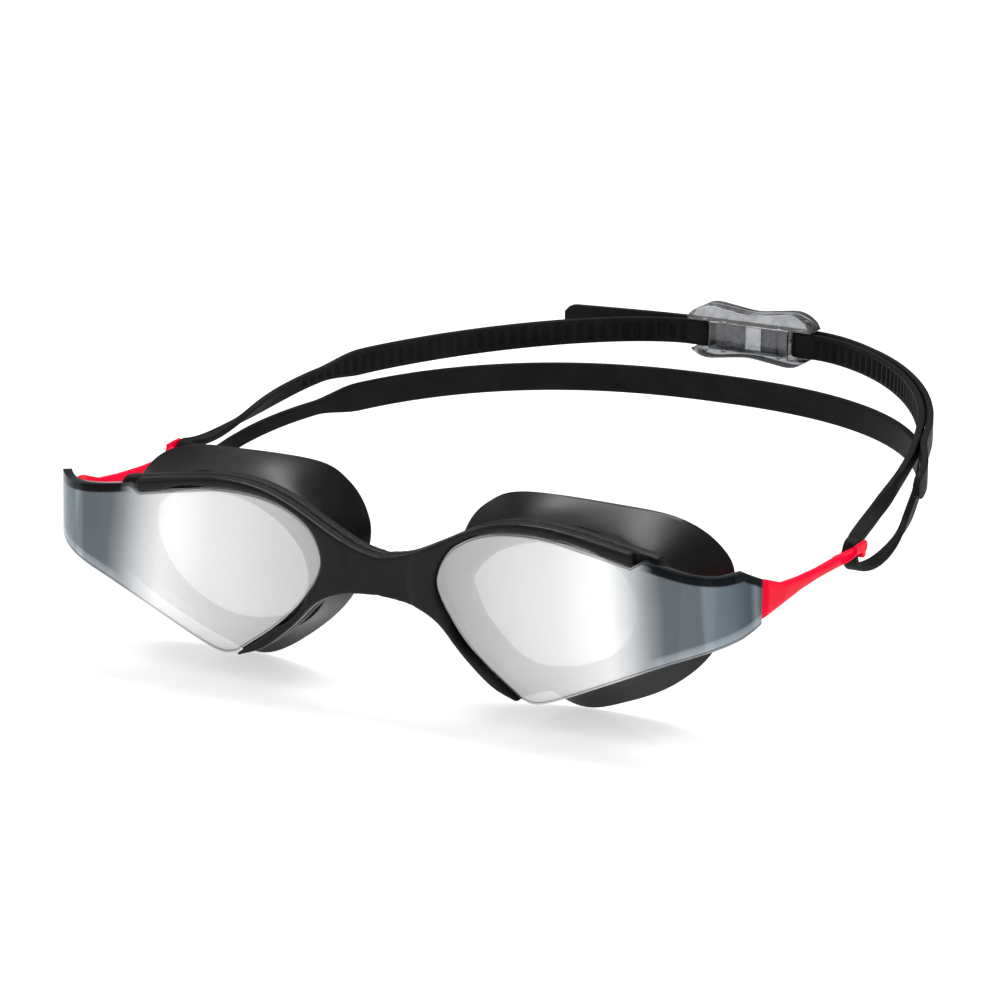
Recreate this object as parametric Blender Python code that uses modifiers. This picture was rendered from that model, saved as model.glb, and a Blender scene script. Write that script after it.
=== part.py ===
"""Swim goggles: wrap-round lenses in a one-piece frame, soft eye seals, side clips and a doubled strap.

World axes: +X to the wearer's left, -Y forwards, +Z up. The origin is the middle of the nose bridge's
back face. Sizes and outlines below are in millimetres; each mesh is turned to metres as it is made.
"""

import math

import bmesh
import bpy
import numpy as np

MM = 0.001
SIDES = (("left", 1), ("right", -1))
GAP = 0.3  # clearance between pieces that touch on the real object

# Lens: a plate that is flat in front of the eye and turns back round the temple.
LENS_FRONT_Y = -6.0
LENS_THICKNESS = 2.0
WRAP_START_X = 70.0
WRAP_RADIUS = 15.0
WRAP_STEP = 2.4
LENS_EDGE_BEVEL = 0.3
# Outline as (distance along the plate from the middle, height), run by run between its corners.
LENS_RUNS = (
    ((34.5, -22.8), (25, -15.7), (18.6, -9), (14.6, -2.5), (14.4, 2.5), (18, 8.2), (26, 12.1), (37, 13.2),
     (48, 11.6), (59, 9.6)),
    ((59, 9.6), (61.5, 11.2)),
    ((61.5, 11.2), (70, 9.9), (78, 9.5), (84, 10.3)),
    ((84, 10.3), (89, 8.2)),
    ((89, 8.2), (89, -1.5)),
    ((89, -1.5), (84, -4), (70, -9.4), (55, -16.3), (43, -21.8), (37.8, -23.4), (34.5, -22.8)),
)

# Frame: one moulding with a bridge, a lip round the nose side of each lens and a plate behind it.
FRAME_BACK_Y = -0.6
LIP_PROUD = 0.8
FRAME_EDGE_BEVEL = 0.8
LIP_END_X = 59.3
LENS_SEAT_CLEARANCE = 0.3
BRIDGE_PAD_Y = 0.0
BRIDGE_PAD_HALF_WIDTH = 5.0
BRIDGE_PAD_MARGIN = 1.2
# Half outline (x, z) from the bridge's top middle, over the eye, round the temple and back under.
FRAME_RUNS = (
    ((0, 3.4), (6, 4.7), (13, 8), (21, 12.1), (29, 14.9), (38, 15.7), (48, 14.6), (58, 12.9), (64, 12)),
    ((64, 12), (66.5, 8), (67, 0), (65, -8.5)),
    ((65, -8.5), (56, -13.9), (45, -19), (36.5, -22)),
    ((36.5, -22), (33.6, -23.3)),
    ((33.6, -23.3), (27.5, -20.8), (20.5, -15), (14.5, -8.8), (8, -5.9), (0, -5)),
)

# Eye opening: a tilted ellipse that the gasket ring lines.
EYE_X = 39.0
EYE_Z = -2.5
EYE_HALF_LENGTH = 21.0
EYE_HALF_HEIGHT = 14.0
EYE_TILT = math.radians(10)
EYE_POINTS = 48
RING_WALL = 1.2
RING_FLANGE = 2.2
RING_FLANGE_THICKNESS = 1.2

# Eye seal: a soft trumpet from the gasket ring out to the face.
SEAL_ROOT_OUT = 2.6
SEAL_ROOT_IN = 0.4
SEAL_RIM_WALL = 1.3
SEAL_RIM_DEPTH = 1.0
SEAL_RIM_Y = 10.0
SEAL_RIM_RAKE = 0.1
SEAL_FLARE = 1.7
SEAL_STEPS = 6
# Rim outline (x, z) as it meets the face.
SEAL_RIM = (
    (72.4, 3), (69, 10.2), (60, 15.1), (45.8, 16.6), (25, 17), (16.8, 13.7), (12.2, 8), (11.2, 1),
    (15.4, -11.6), (25.9, -22), (38.4, -28.9), (50, -26.4), (61, -20.6), (69, -11.5),
)

# Strap clip: a root behind the lens wing, an arm that tapers back and a flat eye for the strap.
CLIP_ROOT_THICKNESS = 2.0
CLIP_ROOT_START = 72.0
CLIP_ROOT_STEPS = 7
# Height of the root's middle and its half height, at its front end and at the wing's end.
CLIP_ROOT_Z = (1.4, 2.5)
CLIP_ROOT_HALF_HEIGHT = (3.4, 5.1)
EYELET_X = 83.0
EYELET_Z = 1.4
EYELET_BAR_Y = 56.3
EYELET_BAR_RADIUS = 1.1
EYELET_SIDE_WALL = 0.8
EYELET_WALL_HALF_HEIGHT = 1.3
EYELET_TWIST = math.radians(35)
EYELET_SLOT_LENGTH = 3.4
EYELET_SHOULDER = 5.0
EYELET_THROAT_CLEARANCE = 0.3
# Arm stations: (y, middle height, half thickness, half height).
ARM_STATIONS = ((9.5, 2.6, 1.1, 4.2), (17.0, 1.9, 1.1, 2.4), (26.0, 1.8, 1.1, 1.5), (36.0, 1.6, 1.0, 1.1))
ARM_FLARE = 1.5
ARM_NECK = (1.1, 1.1)

# Strap: one band of silicone, doubled at the back of the head and folded through a clasp.
STRAP_THICKNESS = 1.6
STRAP_CHAMFER = 0.35
NECK_WIDTH = 3.4
LOWER_WIDTH = 6.8
UPPER_WIDTH = 6.2
STRAP_PITCH = 4.0
# Back loops in plan: half width beyond the straight middle, y of the widest place, depth behind it, exponent.
LOWER_LOOP = (79.4, 72.0, 96.9, 2.34)
LOWER_Z = (1.6, 3.1)
UPPER_LOOP = (60.4, 91.3, 95.8, 1.6)
UPPER_Z = (10.9, 11.7)
LOOP_START = 0.43
TURN_CLEARANCE = 0.4
SPREAD_CLEARANCE = math.radians(48)
TURN_END = math.radians(262)
TURN_DROOP = 1.4
# Necks: how they leave the eyelet bar, how far back they bend to meet their loop, and where they twist and widen.
UPPER_NECK_BEHIND_BAR = 0.4
UPPER_NECK_LEAVES = (-4.4, 10.5, -1.6)
UPPER_NECK_REACH = 34.0
LOWER_NECK_LEAVES = (0.8, 12.0, -4.0)
LOWER_NECK_REACH = 44.0
NECK_TWIST = (3.0, 36.0)
NECK_WIDENS = (49.0, 14.0)

# Clasp: a waisted plate with side walls, two strap bars and two pivoting release levers.
CLASP_HALF_LENGTH = 17.0
CLASP_LOBE_HALF_HEIGHT = 6.6
CLASP_WAIST_HALF_HEIGHT = 5.4
CLASP_RISE = 1.0
CLASP_LOBE_X = 11.0
CLASP_PLATE = 1.2
CLASP_DEPTH = 6.6
CLASP_EDGE_BEVEL = 0.6
CHANNEL_CLEARANCE = 0.45
CLASP_PLATE_HALF_LENGTH = 10.5
BAR_X = 13.0
BAR_RADIUS = 0.9
BAR_ROOT = 0.8
LEVER_INNER_X = 2.2
LEVER_STRAP_CLEARANCE = 0.2
LEVER_PIVOT_X = 7.4
LEVER_THICKNESS = 1.4
LEVER_PAD_HEIGHT = 0.9
PIVOT_RADIUS = 0.7
PIVOT_CLEARANCE = 0.06
PIVOT_HOLE_DEPTH = 0.8
PIVOT_STUB = 0.6
PIVOT_SIDES = 16
LONG_TAIL_TIP = (83.4, 90.0, 7.4)
TAIL_LIFT = 0.4
LONG_TAIL_FREE_Y = 112.0
LONG_TAIL_LEAD = 16.0
SHORT_TAIL = (38.0, -3.2, -0.4)
TAIL_TAPER = (0.85, 0.45)

GOGGLES = "swim_goggles"
CUTTERS = "swim_goggles_cutters"


def clear_scene():
    for old in list(bpy.data.objects):
        bpy.data.objects.remove(old, do_unlink=True)


def new_collection(name):
    found = bpy.data.collections.new(name)
    bpy.context.scene.collection.children.link(found)
    return found


def plastic(name, colour, roughness, alpha=1.0, metallic=0.0):
    made = bpy.data.materials.new(name)
    made.use_nodes = True
    shader = made.node_tree.nodes["Principled BSDF"]
    shader.inputs["Base Color"].default_value = (*colour, 1.0)
    shader.inputs["Roughness"].default_value = roughness
    shader.inputs["Metallic"].default_value = metallic
    shader.inputs["Alpha"].default_value = alpha
    return made


def mirrored_lens():
    return plastic("mirrored_polycarbonate", (0.75, 0.77, 0.80), 0.06, metallic=0.9)


def black_frame():
    return plastic("black_moulded_frame", (0.020, 0.020, 0.021), 0.45)


def black_silicone():
    return plastic("black_silicone", (0.017, 0.017, 0.018), 0.55)


def red_nylon():
    return plastic("red_nylon", (0.86, 0.004, 0.035), 0.38)


def smoked_clear():
    return plastic("smoked_clear", (0.30, 0.31, 0.32), 0.12, alpha=0.6)


def link(name, mesh, material, collection):
    """Link an object that holds the mesh, shaded smooth where its faces nearly line up."""
    placed = bpy.data.objects.new(name, mesh)
    collection.objects.link(placed)
    if material:
        mesh.materials.append(material)
    mesh.shade_smooth()
    mesh.set_sharp_from_angle(angle=math.radians(35))
    return placed


def cutter(name, mesh):
    placed = link(name, mesh, None, bpy.data.collections[CUTTERS])
    placed.hide_render = True
    placed.display_type = "WIRE"
    return placed


def boolean(target, tool, operation):
    step = target.modifiers.new(f"{operation.lower()}_{tool.name}", "BOOLEAN")
    step.operation = operation
    step.object = tool
    step.solver = "EXACT"


def bevel(target, width, segments=2, angle=40):
    step = target.modifiers.new("rounded_edges", "BEVEL")
    step.width = width * MM
    step.segments = segments
    step.limit_method = "ANGLE"
    step.angle_limit = math.radians(angle)
    step.use_clamp_overlap = True


def smooth_run(points, steps=4, closed=False):
    """Catmull-Rom curve through the points; an open run leaves out its last point."""
    knots = np.array(points, float)
    if closed:
        before, after, past = np.roll(knots, 1, 0), np.roll(knots, -1, 0), np.roll(knots, -2, 0)
        start = knots
    else:
        ends = np.vstack([2 * knots[0] - knots[1], knots, 2 * knots[-1] - knots[-2]])
        before, start, after, past = ends[:-3], ends[1:-2], ends[2:-1], ends[3:]
    t = (np.arange(steps) / steps)[None, :, None]
    before, start, after, past = (each[:, None, :] for each in (before, start, after, past))
    curve = 0.5 * (
        2 * start
        + (after - before) * t
        + (2 * before - 5 * start + 4 * after - past) * t**2
        + (3 * start - before - 3 * after + past) * t**3
    )
    return curve.reshape(-1, knots.shape[1])


def closed_outline(runs, steps=4):
    """Outline whose corners are where one run meets the next; a run of two points is straight."""
    return np.vstack([smooth_run(run, steps if len(run) > 2 else 1) for run in runs])


def plate(outlines, low, high):
    """Mesh of flat outlines (first two axes), thickened between two values of the third axis."""
    drawn = bpy.data.curves.new("outline", "CURVE")
    drawn.dimensions = "2D"
    drawn.fill_mode = "BOTH"
    drawn.extrude = (high - low) / 2 * MM
    for outline in outlines:
        spline = drawn.splines.new("POLY")
        spline.points.add(len(outline) - 1)
        for point, (x, y) in zip(spline.points, outline):
            point.co = (x * MM, y * MM, 0, 1)
        spline.use_cyclic_u = True
    holder = bpy.data.objects.new("outline", drawn)
    bpy.context.scene.collection.objects.link(holder)
    graph = bpy.context.evaluated_depsgraph_get()
    mesh = bpy.data.meshes.new_from_object(holder.evaluated_get(graph))
    bpy.data.objects.remove(holder, do_unlink=True)
    shape = bmesh.new()
    shape.from_mesh(mesh)
    bmesh.ops.remove_doubles(shape, verts=shape.verts, dist=0.002 * MM)
    bmesh.ops.translate(shape, verts=shape.verts, vec=(0, 0, (high + low) / 2 * MM))
    bmesh.ops.recalc_face_normals(shape, faces=shape.faces)
    shape.to_mesh(mesh)
    shape.free()
    return mesh


def stood_up(mesh):
    """Turn a plate drawn as (x, z, depth) so that its depth runs along world Y."""
    shape = bmesh.new()
    shape.from_mesh(mesh)
    for vert in shape.verts:
        vert.co = (vert.co.x, vert.co.z, vert.co.y)
    bmesh.ops.reverse_faces(shape, faces=shape.faces)
    shape.to_mesh(mesh)
    shape.free()
    return mesh


def lying_along_x(mesh):
    """Turn a mesh drawn as (y, z, x) so that its third axis runs along world X."""
    shape = bmesh.new()
    shape.from_mesh(mesh)
    for vert in shape.verts:
        vert.co = (vert.co.z, vert.co.x, vert.co.y)
    shape.to_mesh(mesh)
    shape.free()
    return mesh


def turned_over(mesh, side):
    """Mirror a left-hand mesh in the middle plane for the right-hand side."""
    if side > 0:
        return mesh
    shape = bmesh.new()
    shape.from_mesh(mesh)
    bmesh.ops.scale(shape, vec=(-1, 1, 1), verts=shape.verts)
    bmesh.ops.reverse_faces(shape, faces=shape.faces)
    shape.to_mesh(mesh)
    shape.free()
    return mesh


def loft(rings, closed_path=False):
    """Mesh of a skin through rings of equal length; open paths get end caps."""
    rings = np.array(rings, float)
    count, around = rings.shape[:2]
    shape = bmesh.new()
    grid = [[shape.verts.new(point * MM) for point in ring] for ring in rings]
    for i in range(count if closed_path else count - 1):
        here, there = grid[i], grid[(i + 1) % count]
        for j in range(around):
            k = (j + 1) % around
            shape.faces.new((here[j], here[k], there[k], there[j]))
    if not closed_path:
        shape.faces.new(grid[0])
        shape.faces.new(reversed(grid[-1]))
    bmesh.ops.recalc_face_normals(shape, faces=shape.faces)
    mesh = bpy.data.meshes.new("loft")
    shape.to_mesh(mesh)
    shape.free()
    return mesh


def box(low, high):
    shape = bmesh.new()
    bmesh.ops.create_cube(shape, size=1)
    size = np.array(high, float) - np.array(low, float)
    bmesh.ops.scale(shape, vec=size * MM, verts=shape.verts)
    bmesh.ops.translate(shape, vec=(np.array(high) + np.array(low)) / 2 * MM, verts=shape.verts)
    mesh = bpy.data.meshes.new("box")
    shape.to_mesh(mesh)
    shape.free()
    return mesh


def upright_rod(x, y, low, high, radius, sides=PIVOT_SIDES):
    shape = bmesh.new()
    bmesh.ops.create_cone(
        shape, cap_ends=True, segments=sides, radius1=radius * MM, radius2=radius * MM, depth=(high - low) * MM
    )
    bmesh.ops.translate(shape, vec=np.array((x, y, (high + low) / 2)) * MM, verts=shape.verts)
    mesh = bpy.data.meshes.new("rod")
    shape.to_mesh(mesh)
    shape.free()
    return mesh


def wrap(along, inset):
    """Plan point of the lens surface at a distance along it, moved inwards by inset."""
    turn = np.maximum(np.asarray(along, float) - WRAP_START_X, 0) / WRAP_RADIUS
    reach = WRAP_RADIUS - inset
    x = np.minimum(along, WRAP_START_X) + reach * np.sin(turn)
    y = LENS_FRONT_Y + inset + reach * (1 - np.cos(turn))
    return x, y


def ellipse(grow):
    """Eye opening grown outwards, as (x, z) points anticlockwise from the temple end."""
    turn = np.arange(EYE_POINTS) * 2 * math.pi / EYE_POINTS
    along = (EYE_HALF_LENGTH + grow) * np.cos(turn)
    across = (EYE_HALF_HEIGHT + grow) * np.sin(turn)
    x = EYE_X + along * math.cos(EYE_TILT) - across * math.sin(EYE_TILT)
    z = EYE_Z + along * math.sin(EYE_TILT) + across * math.cos(EYE_TILT)
    return np.column_stack([x, z])


def grown(outline, amount):
    """Closed anticlockwise or clockwise outline moved outwards along its own normals."""
    ahead = np.roll(outline, -1, 0) - outline
    behind = outline - np.roll(outline, 1, 0)
    ahead /= np.linalg.norm(ahead, axis=1)[:, None]
    behind /= np.linalg.norm(behind, axis=1)[:, None]
    middle = ahead + behind
    middle /= np.linalg.norm(middle, axis=1)[:, None]
    normal = np.column_stack([middle[:, 1], -middle[:, 0]])
    area = np.sum(outline[:, 0] * np.roll(outline[:, 1], -1) - outline[:, 1] * np.roll(outline[:, 0], -1))
    stretch = 1 / np.maximum(np.sum(middle * ahead, axis=1), 0.5)
    return outline + normal * (amount * stretch)[:, None] * (1 if area > 0 else -1)


def lens(side_name, side, material, collection):
    """Lens plate: its flat outline is sliced across the wrap and then bent round it."""
    mesh = plate([closed_outline(LENS_RUNS)], 0, LENS_THICKNESS)
    shape = bmesh.new()
    shape.from_mesh(mesh)
    end = max(point[0] for run in LENS_RUNS for point in run)
    for along in np.arange(WRAP_START_X, end, WRAP_STEP):
        bmesh.ops.bisect_plane(
            shape,
            geom=shape.verts[:] + shape.edges[:] + shape.faces[:],
            plane_co=(along * MM, 0, 0),
            plane_no=(1, 0, 0),
            dist=0.001 * MM,
        )
    for vert in shape.verts:
        x, y = wrap(vert.co.x / MM, vert.co.z / MM)
        vert.co = (x * MM, y * MM, vert.co.y)
    bmesh.ops.recalc_face_normals(shape, faces=shape.faces)
    shape.to_mesh(mesh)
    shape.free()
    placed = link(f"lens_{side_name}", turned_over(mesh, side), material, collection)
    bevel(placed, LENS_EDGE_BEVEL, segments=1, angle=60)
    return placed


def frame(material, collection):
    """One-piece frame: a bevelled plate with a pocket and an eye opening cut for each lens."""
    half = closed_outline(FRAME_RUNS)
    last = np.array([FRAME_RUNS[-1][-1]], float)
    right = half[1:][::-1] * (-1, 1)
    whole = np.vstack([half, last, right])
    back_of_lens = LENS_FRONT_Y + LENS_THICKNESS + LENS_SEAT_CLEARANCE
    front = LENS_FRONT_Y - LIP_PROUD
    placed = link("frame", stood_up(plate([whole], front, FRAME_BACK_Y)), material, collection)
    bevel(placed, FRAME_EDGE_BEVEL)
    w = BRIDGE_PAD_HALF_WIDTH
    pad_low, pad_high = FRAME_RUNS[-1][-1][1] + BRIDGE_PAD_MARGIN, FRAME_RUNS[0][0][1] - BRIDGE_PAD_MARGIN
    pad = cutter("bridge_pad", box((-w, FRAME_BACK_Y - 1, pad_low), (w, BRIDGE_PAD_Y, pad_high)))
    bevel(pad, BRIDGE_PAD_Y - FRAME_BACK_Y - 0.1)
    boolean(placed, pad, "UNION")
    pocket = grown(closed_outline(LENS_RUNS), LENS_SEAT_CLEARANCE)
    opening = ellipse(RING_WALL + GAP)
    reach = max(point[0] for run in FRAME_RUNS for point in run) + 10
    for side_name, side in SIDES:
        cuts = (
            ("pocket", stood_up(plate([pocket], front - 2, back_of_lens))),
            ("opening", stood_up(plate([opening], front - 4, FRAME_BACK_Y + 4))),
            ("lip_end", box((LIP_END_X, front - 3, -30), (reach, back_of_lens, 30))),
        )
        for cut_name, mesh in cuts:
            tool = cutter(f"{cut_name}_{side_name}", turned_over(mesh, side))
            boolean(placed, tool, "DIFFERENCE")
    return placed


def gasket_ring(side_name, side, material, collection):
    """Rigid ring: a tube that lines the eye opening, with a flange on the back of the frame."""
    front = LENS_FRONT_Y + LENS_THICKNESS + GAP
    seat = FRAME_BACK_Y + GAP
    back = seat + RING_FLANGE_THICKNESS
    rings = (
        (0, front), (RING_WALL, front), (RING_WALL, seat), (RING_WALL + RING_FLANGE, seat),
        (RING_WALL + RING_FLANGE, back), (0, back),
    )
    stations = []
    for grow, y in rings:
        x, z = ellipse(grow).T
        stations.append(np.column_stack([x, np.full_like(x, y), z]))
    mesh = loft(stations, closed_path=True)
    return link(f"gasket_ring_{side_name}", turned_over(mesh, side), material, collection)


def rim_at_angles(outline, around):
    """Outline resampled where it crosses the directions of the given points about the eye's middle."""
    middle = np.array((EYE_X, EYE_Z))
    dense = smooth_run(outline, steps=24, closed=True) - middle
    angle = np.unwrap(np.arctan2(dense[:, 1], dense[:, 0]))
    radius = np.hypot(dense[:, 0], dense[:, 1])
    turn = 2 * math.pi
    angle = np.concatenate([angle - turn, angle, angle + turn])
    radius = np.tile(radius, 3)
    order = np.argsort(angle)
    wanted = np.arctan2(around[:, 1] - EYE_Z, around[:, 0] - EYE_X)
    found = np.interp(wanted, angle[order], radius[order])
    return middle + found[:, None] * np.column_stack([np.cos(wanted), np.sin(wanted)])


def eye_seal(side_name, side, material, collection):
    """Soft seal: an outer skin flares from the ring to the rim, and an inner one follows it."""
    root_y = FRAME_BACK_Y + GAP + RING_FLANGE_THICKNESS + GAP
    rim = rim_at_angles(SEAL_RIM, ellipse(SEAL_ROOT_OUT))
    toward_middle = np.array((EYE_X, EYE_Z)) - rim
    toward_middle /= np.linalg.norm(toward_middle, axis=1)[:, None]
    inner_rim = rim + toward_middle * SEAL_RIM_WALL
    rim_y = SEAL_RIM_Y + SEAL_RIM_RAKE * rim[:, 0]
    skins = []
    for root, edge, depth in ((ellipse(SEAL_ROOT_OUT), rim, 0), (ellipse(SEAL_ROOT_IN), inner_rim, SEAL_RIM_DEPTH)):
        skin = []
        for t in np.linspace(0, 1, SEAL_STEPS):
            flare = t**SEAL_FLARE
            outline = root * (1 - flare) + edge * flare
            y = root_y + (rim_y - root_y + depth) * t
            skin.append(np.column_stack([outline[:, 0], y, outline[:, 1]]))
        skins.append(skin)
    mesh = loft(skins[0] + skins[1][::-1], closed_path=True)
    return link(f"eye_seal_{side_name}", turned_over(mesh, side), material, collection)


def rounded_section(half_thickness, half_height, power=3.0, points=16):
    """Superellipse section as (across, up) arrays."""
    turn = (np.arange(points) + 0.5) * 2 * math.pi / points
    shape = np.abs(np.cos(turn)) ** (2 / power), np.abs(np.sin(turn)) ** (2 / power)
    return np.sign(np.cos(turn)) * shape[0] * half_thickness, np.sign(np.sin(turn)) * shape[1] * half_height


def eyelet_span():
    """Half width of the eyelet's slot, and the y where the slot starts and where the bar ends."""
    half_slot = NECK_WIDTH / 2 + EYELET_THROAT_CLEARANCE
    slot_front = EYELET_BAR_Y - EYELET_BAR_RADIUS - EYELET_SLOT_LENGTH
    return half_slot, slot_front, EYELET_BAR_Y + EYELET_BAR_RADIUS


def clip_rings():
    """Sections of the clip's root, arm and shoulder, front to back; the shoulder turns as it widens."""
    half = CLIP_ROOT_THICKNESS / 2
    end = max(point[0] for run in LENS_RUNS for point in run)
    rings = []
    for along in np.linspace(CLIP_ROOT_START, end, CLIP_ROOT_STEPS):
        turn = (along - WRAP_START_X) / WRAP_RADIUS
        share = (along - CLIP_ROOT_START) / (end - CLIP_ROOT_START)
        x, y = wrap(along, LENS_THICKNESS + GAP + half)
        across, up = rounded_section(half, CLIP_ROOT_HALF_HEIGHT[0] * (1 - share) + CLIP_ROOT_HALF_HEIGHT[1] * share)
        middle_z = CLIP_ROOT_Z[0] * (1 - share) + CLIP_ROOT_Z[1] * share
        rings.append(np.column_stack([x + across * math.sin(turn), y - across * math.cos(turn), middle_z + up]))
    start_x = x
    for y, middle_z, half_thickness, half_height in ARM_STATIONS:
        across, up = rounded_section(half_thickness, half_height)
        share = min((y - rings[0][0][1]) / (ARM_STATIONS[1][0] - rings[0][0][1]), 1) ** (1 / ARM_FLARE)
        x = start_x + (EYELET_X - start_x) * share
        rings.append(np.column_stack([x + across, np.full_like(up, y), middle_z + up]))
    half_slot, slot_front, _ = eyelet_span()
    outer = half_slot + EYELET_SIDE_WALL
    for share in (0, 0.3, 0.6, 0.85, 1):
        twist = EYELET_TWIST * share
        widen = eased(share)
        half_width = ARM_NECK[0] * (1 - widen) + outer / math.cos(EYELET_TWIST) * widen
        across, up = rounded_section(half_width, ARM_NECK[1] * (1 - widen) + EYELET_BAR_RADIUS * widen)
        y = slot_front - EYELET_SHOULDER * (1 - share)
        x = EYELET_X + across * math.cos(twist) - up * math.sin(twist)
        z = EYELET_Z + across * math.sin(twist) + up * math.cos(twist)
        rings.append(np.column_stack([x, np.full_like(x, y), z]))
    return rings


def strap_clip(side_name, side, material, collection):
    """Moulded clip: a lofted root, arm and shoulder, two side walls and the round bar that carries the strap."""
    placed = link(f"strap_clip_{side_name}", turned_over(loft(clip_rings()), side), material, collection)
    half_slot, slot_front, back = eyelet_span()
    outer = half_slot + EYELET_SIDE_WALL
    rise = (half_slot + EYELET_SIDE_WALL / 2) * math.tan(EYELET_TWIST)
    end_radius = EYELET_WALL_HALF_HEIGHT
    turns = np.linspace(-math.pi / 2, math.pi / 2, 9)
    for wall_name, low_x, middle_z in (("outer", half_slot, rise), ("inner", -outer, -rise)):
        end_y = back - end_radius + end_radius * np.cos(turns)
        end_z = middle_z + end_radius * np.sin(turns)
        front = [(slot_front - 1, middle_z + 0.8 * end_radius), (slot_front - 1, middle_z - 0.8 * end_radius)]
        outline = np.vstack([np.column_stack([end_y, end_z]), front]) + (0, EYELET_Z)
        wall = lying_along_x(plate([outline], EYELET_X + low_x, EYELET_X + low_x + EYELET_SIDE_WALL))
        tool = cutter(f"eyelet_{wall_name}_{side_name}", turned_over(wall, side))
        bevel(tool, 0.25)
        boolean(placed, tool, "UNION")
    reach = half_slot + EYELET_SIDE_WALL * 0.6
    bar = lying_along_x(upright_rod(EYELET_BAR_Y, EYELET_Z, EYELET_X - reach, EYELET_X + reach, EYELET_BAR_RADIUS))
    boolean(placed, cutter(f"eyelet_bar_{side_name}", turned_over(bar, side)), "UNION")
    return placed


def level(tangents):
    """Horizontal unit vectors square to a path, on the outer side of the loop on the wearer's left."""
    across = np.cross(tangents, (0, 0, 1))
    return across / np.linalg.norm(across, axis=1)[:, None]


def directions(points):
    tangents = np.gradient(points, axis=0)
    return tangents / np.linalg.norm(tangents, axis=1)[:, None]


def ribbon(points, twist, widths):
    """Band along a path. Twist goes from 0, lying flat, to 1, standing on edge round the head."""
    tangents = directions(points)
    out = level(tangents)
    up = np.cross(out, tangents)
    turn = twist[:, None] * math.pi / 2
    return band(points, tangents, np.cos(turn) * up + np.sin(turn) * out, widths)


def band(points, tangents, normal, widths):
    """Eight-cornered strap sections along a path, chamfered at the edges."""
    across = np.cross(tangents, normal)
    half = np.asarray(widths)[:, None] / 2
    thick = STRAP_THICKNESS / 2
    cut = STRAP_CHAMFER
    corners = []
    for a, b in ((1, 1), (-1, 1), (-1, -1), (1, -1)):
        first, second = ((half, thick - cut), (half - cut, thick))
        if a * b < 0:
            first, second = second, first
        corners.append(points + across * a * first[0] + normal * b * first[1])
        corners.append(points + across * a * second[0] + normal * b * second[1])
    return np.stack(corners, axis=1)


def bezier(p0, p1, p2, p3, count):
    t = np.linspace(0, 1, count, endpoint=False)[:, None]
    p0, p1, p2, p3 = (np.array(p, float) for p in (p0, p1, p2, p3))
    return (1 - t)**3 * p0 + 3 * t * (1 - t)**2 * p1 + 3 * t**2 * (1 - t) * p2 + t**3 * p3


def loop_point(loop, turn, straight=0.0):
    """Plan point of a back loop: a superellipse quarter beyond a straight middle."""
    width, start, depth, power = loop
    x = straight + width * np.abs(np.cos(turn)) ** (2 / power)
    y = start + depth * np.abs(np.sin(turn)) ** (2 / power)
    return x, y


def loop_height(loop, heights, y):
    return heights[0] + (heights[1] - heights[0]) * (y - loop[1]) / loop[2]


def led_in(start, handle, back, reach, count):
    """Curve from a point, leaving along a handle, that joins the first stretch of a back loop smoothly."""
    along = (back[1] - back[0]) / np.linalg.norm(back[1] - back[0])
    return bezier(start, np.array(start) + handle, back[0] - along * reach, back[0], count)


def evenly(points, pitch):
    """Path resampled at an even spacing near the pitch, with both ends kept."""
    points = np.array(points, float)
    run = np.concatenate([[0], np.cumsum(np.linalg.norm(np.diff(points, axis=0), axis=1))])
    count = max(int(round(run[-1] / pitch)), 2)
    wanted = np.linspace(0, run[-1], count + 1)
    return np.column_stack([np.interp(wanted, run, points[:, i]) for i in range(3)]), wanted


def eased(value):
    value = np.clip(value, 0, 1)
    return value * value * (3 - 2 * value)


def lower_strap(material, collection):
    """Lower strap: from one eyelet, round the back of the head at neck level, to the other eyelet."""
    turn_radius = EYELET_BAR_RADIUS + TURN_CLEARANCE + STRAP_THICKNESS / 2
    turns = np.linspace(math.pi / 2 + SPREAD_CLEARANCE, TURN_END, 9)
    droop = eased((turns - math.pi) / (math.pi / 2)) * TURN_DROOP
    arc = np.column_stack([
        np.full_like(turns, EYELET_X),
        EYELET_BAR_Y + (turn_radius + droop) * np.cos(turns) + droop,
        EYELET_Z + (turn_radius + droop) * np.sin(turns),
    ])
    x, y = loop_point(LOWER_LOOP, np.linspace(LOOP_START, math.pi / 2, 60))
    back = np.column_stack([x, y, loop_height(LOWER_LOOP, LOWER_Z, y)])
    neck = led_in(arc[-1], LOWER_NECK_LEAVES, back, LOWER_NECK_REACH, 16)
    half_back, _ = evenly(np.vstack([neck, back]), STRAP_PITCH)
    half = np.vstack([arc[:-1], half_back])
    run = half[:, 1] - EYELET_BAR_Y
    on_turn = np.arange(len(half)) < len(arc)
    twist = np.where(on_turn, 0, eased((run - NECK_TWIST[0]) / NECK_TWIST[1]))
    widths = np.where(on_turn, NECK_WIDTH, strap_width(run, LOWER_WIDTH))
    tangents = directions(half)
    # Round the bar the band lies flat, so its normal there points away from the bar.
    flat_normal = np.cross(tangents, (1, 0, 0))
    flat_normal /= np.linalg.norm(flat_normal, axis=1)[:, None]
    turn = twist[:, None] * math.pi / 2
    normal = np.cos(turn) * flat_normal + np.sin(turn) * level(tangents)
    normal -= tangents * np.sum(normal * tangents, axis=1)[:, None]
    normal /= np.linalg.norm(normal, axis=1)[:, None]
    tangents[-1] = (-1, 0, 0)
    normal[-1] = (0, 1, 0)
    rings = band(half, tangents, normal, widths)
    other = rings[:-1][::-1] * (-1, 1, 1)
    return link("lower_strap", loft(np.concatenate([rings, other])), material, collection)


def strap_width(run, full_width):
    """Width of the band at a distance behind the eyelet bar, as it spreads from the neck."""
    return NECK_WIDTH + (full_width - NECK_WIDTH) * eased((run - NECK_WIDENS[0]) / NECK_WIDENS[1])


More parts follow.
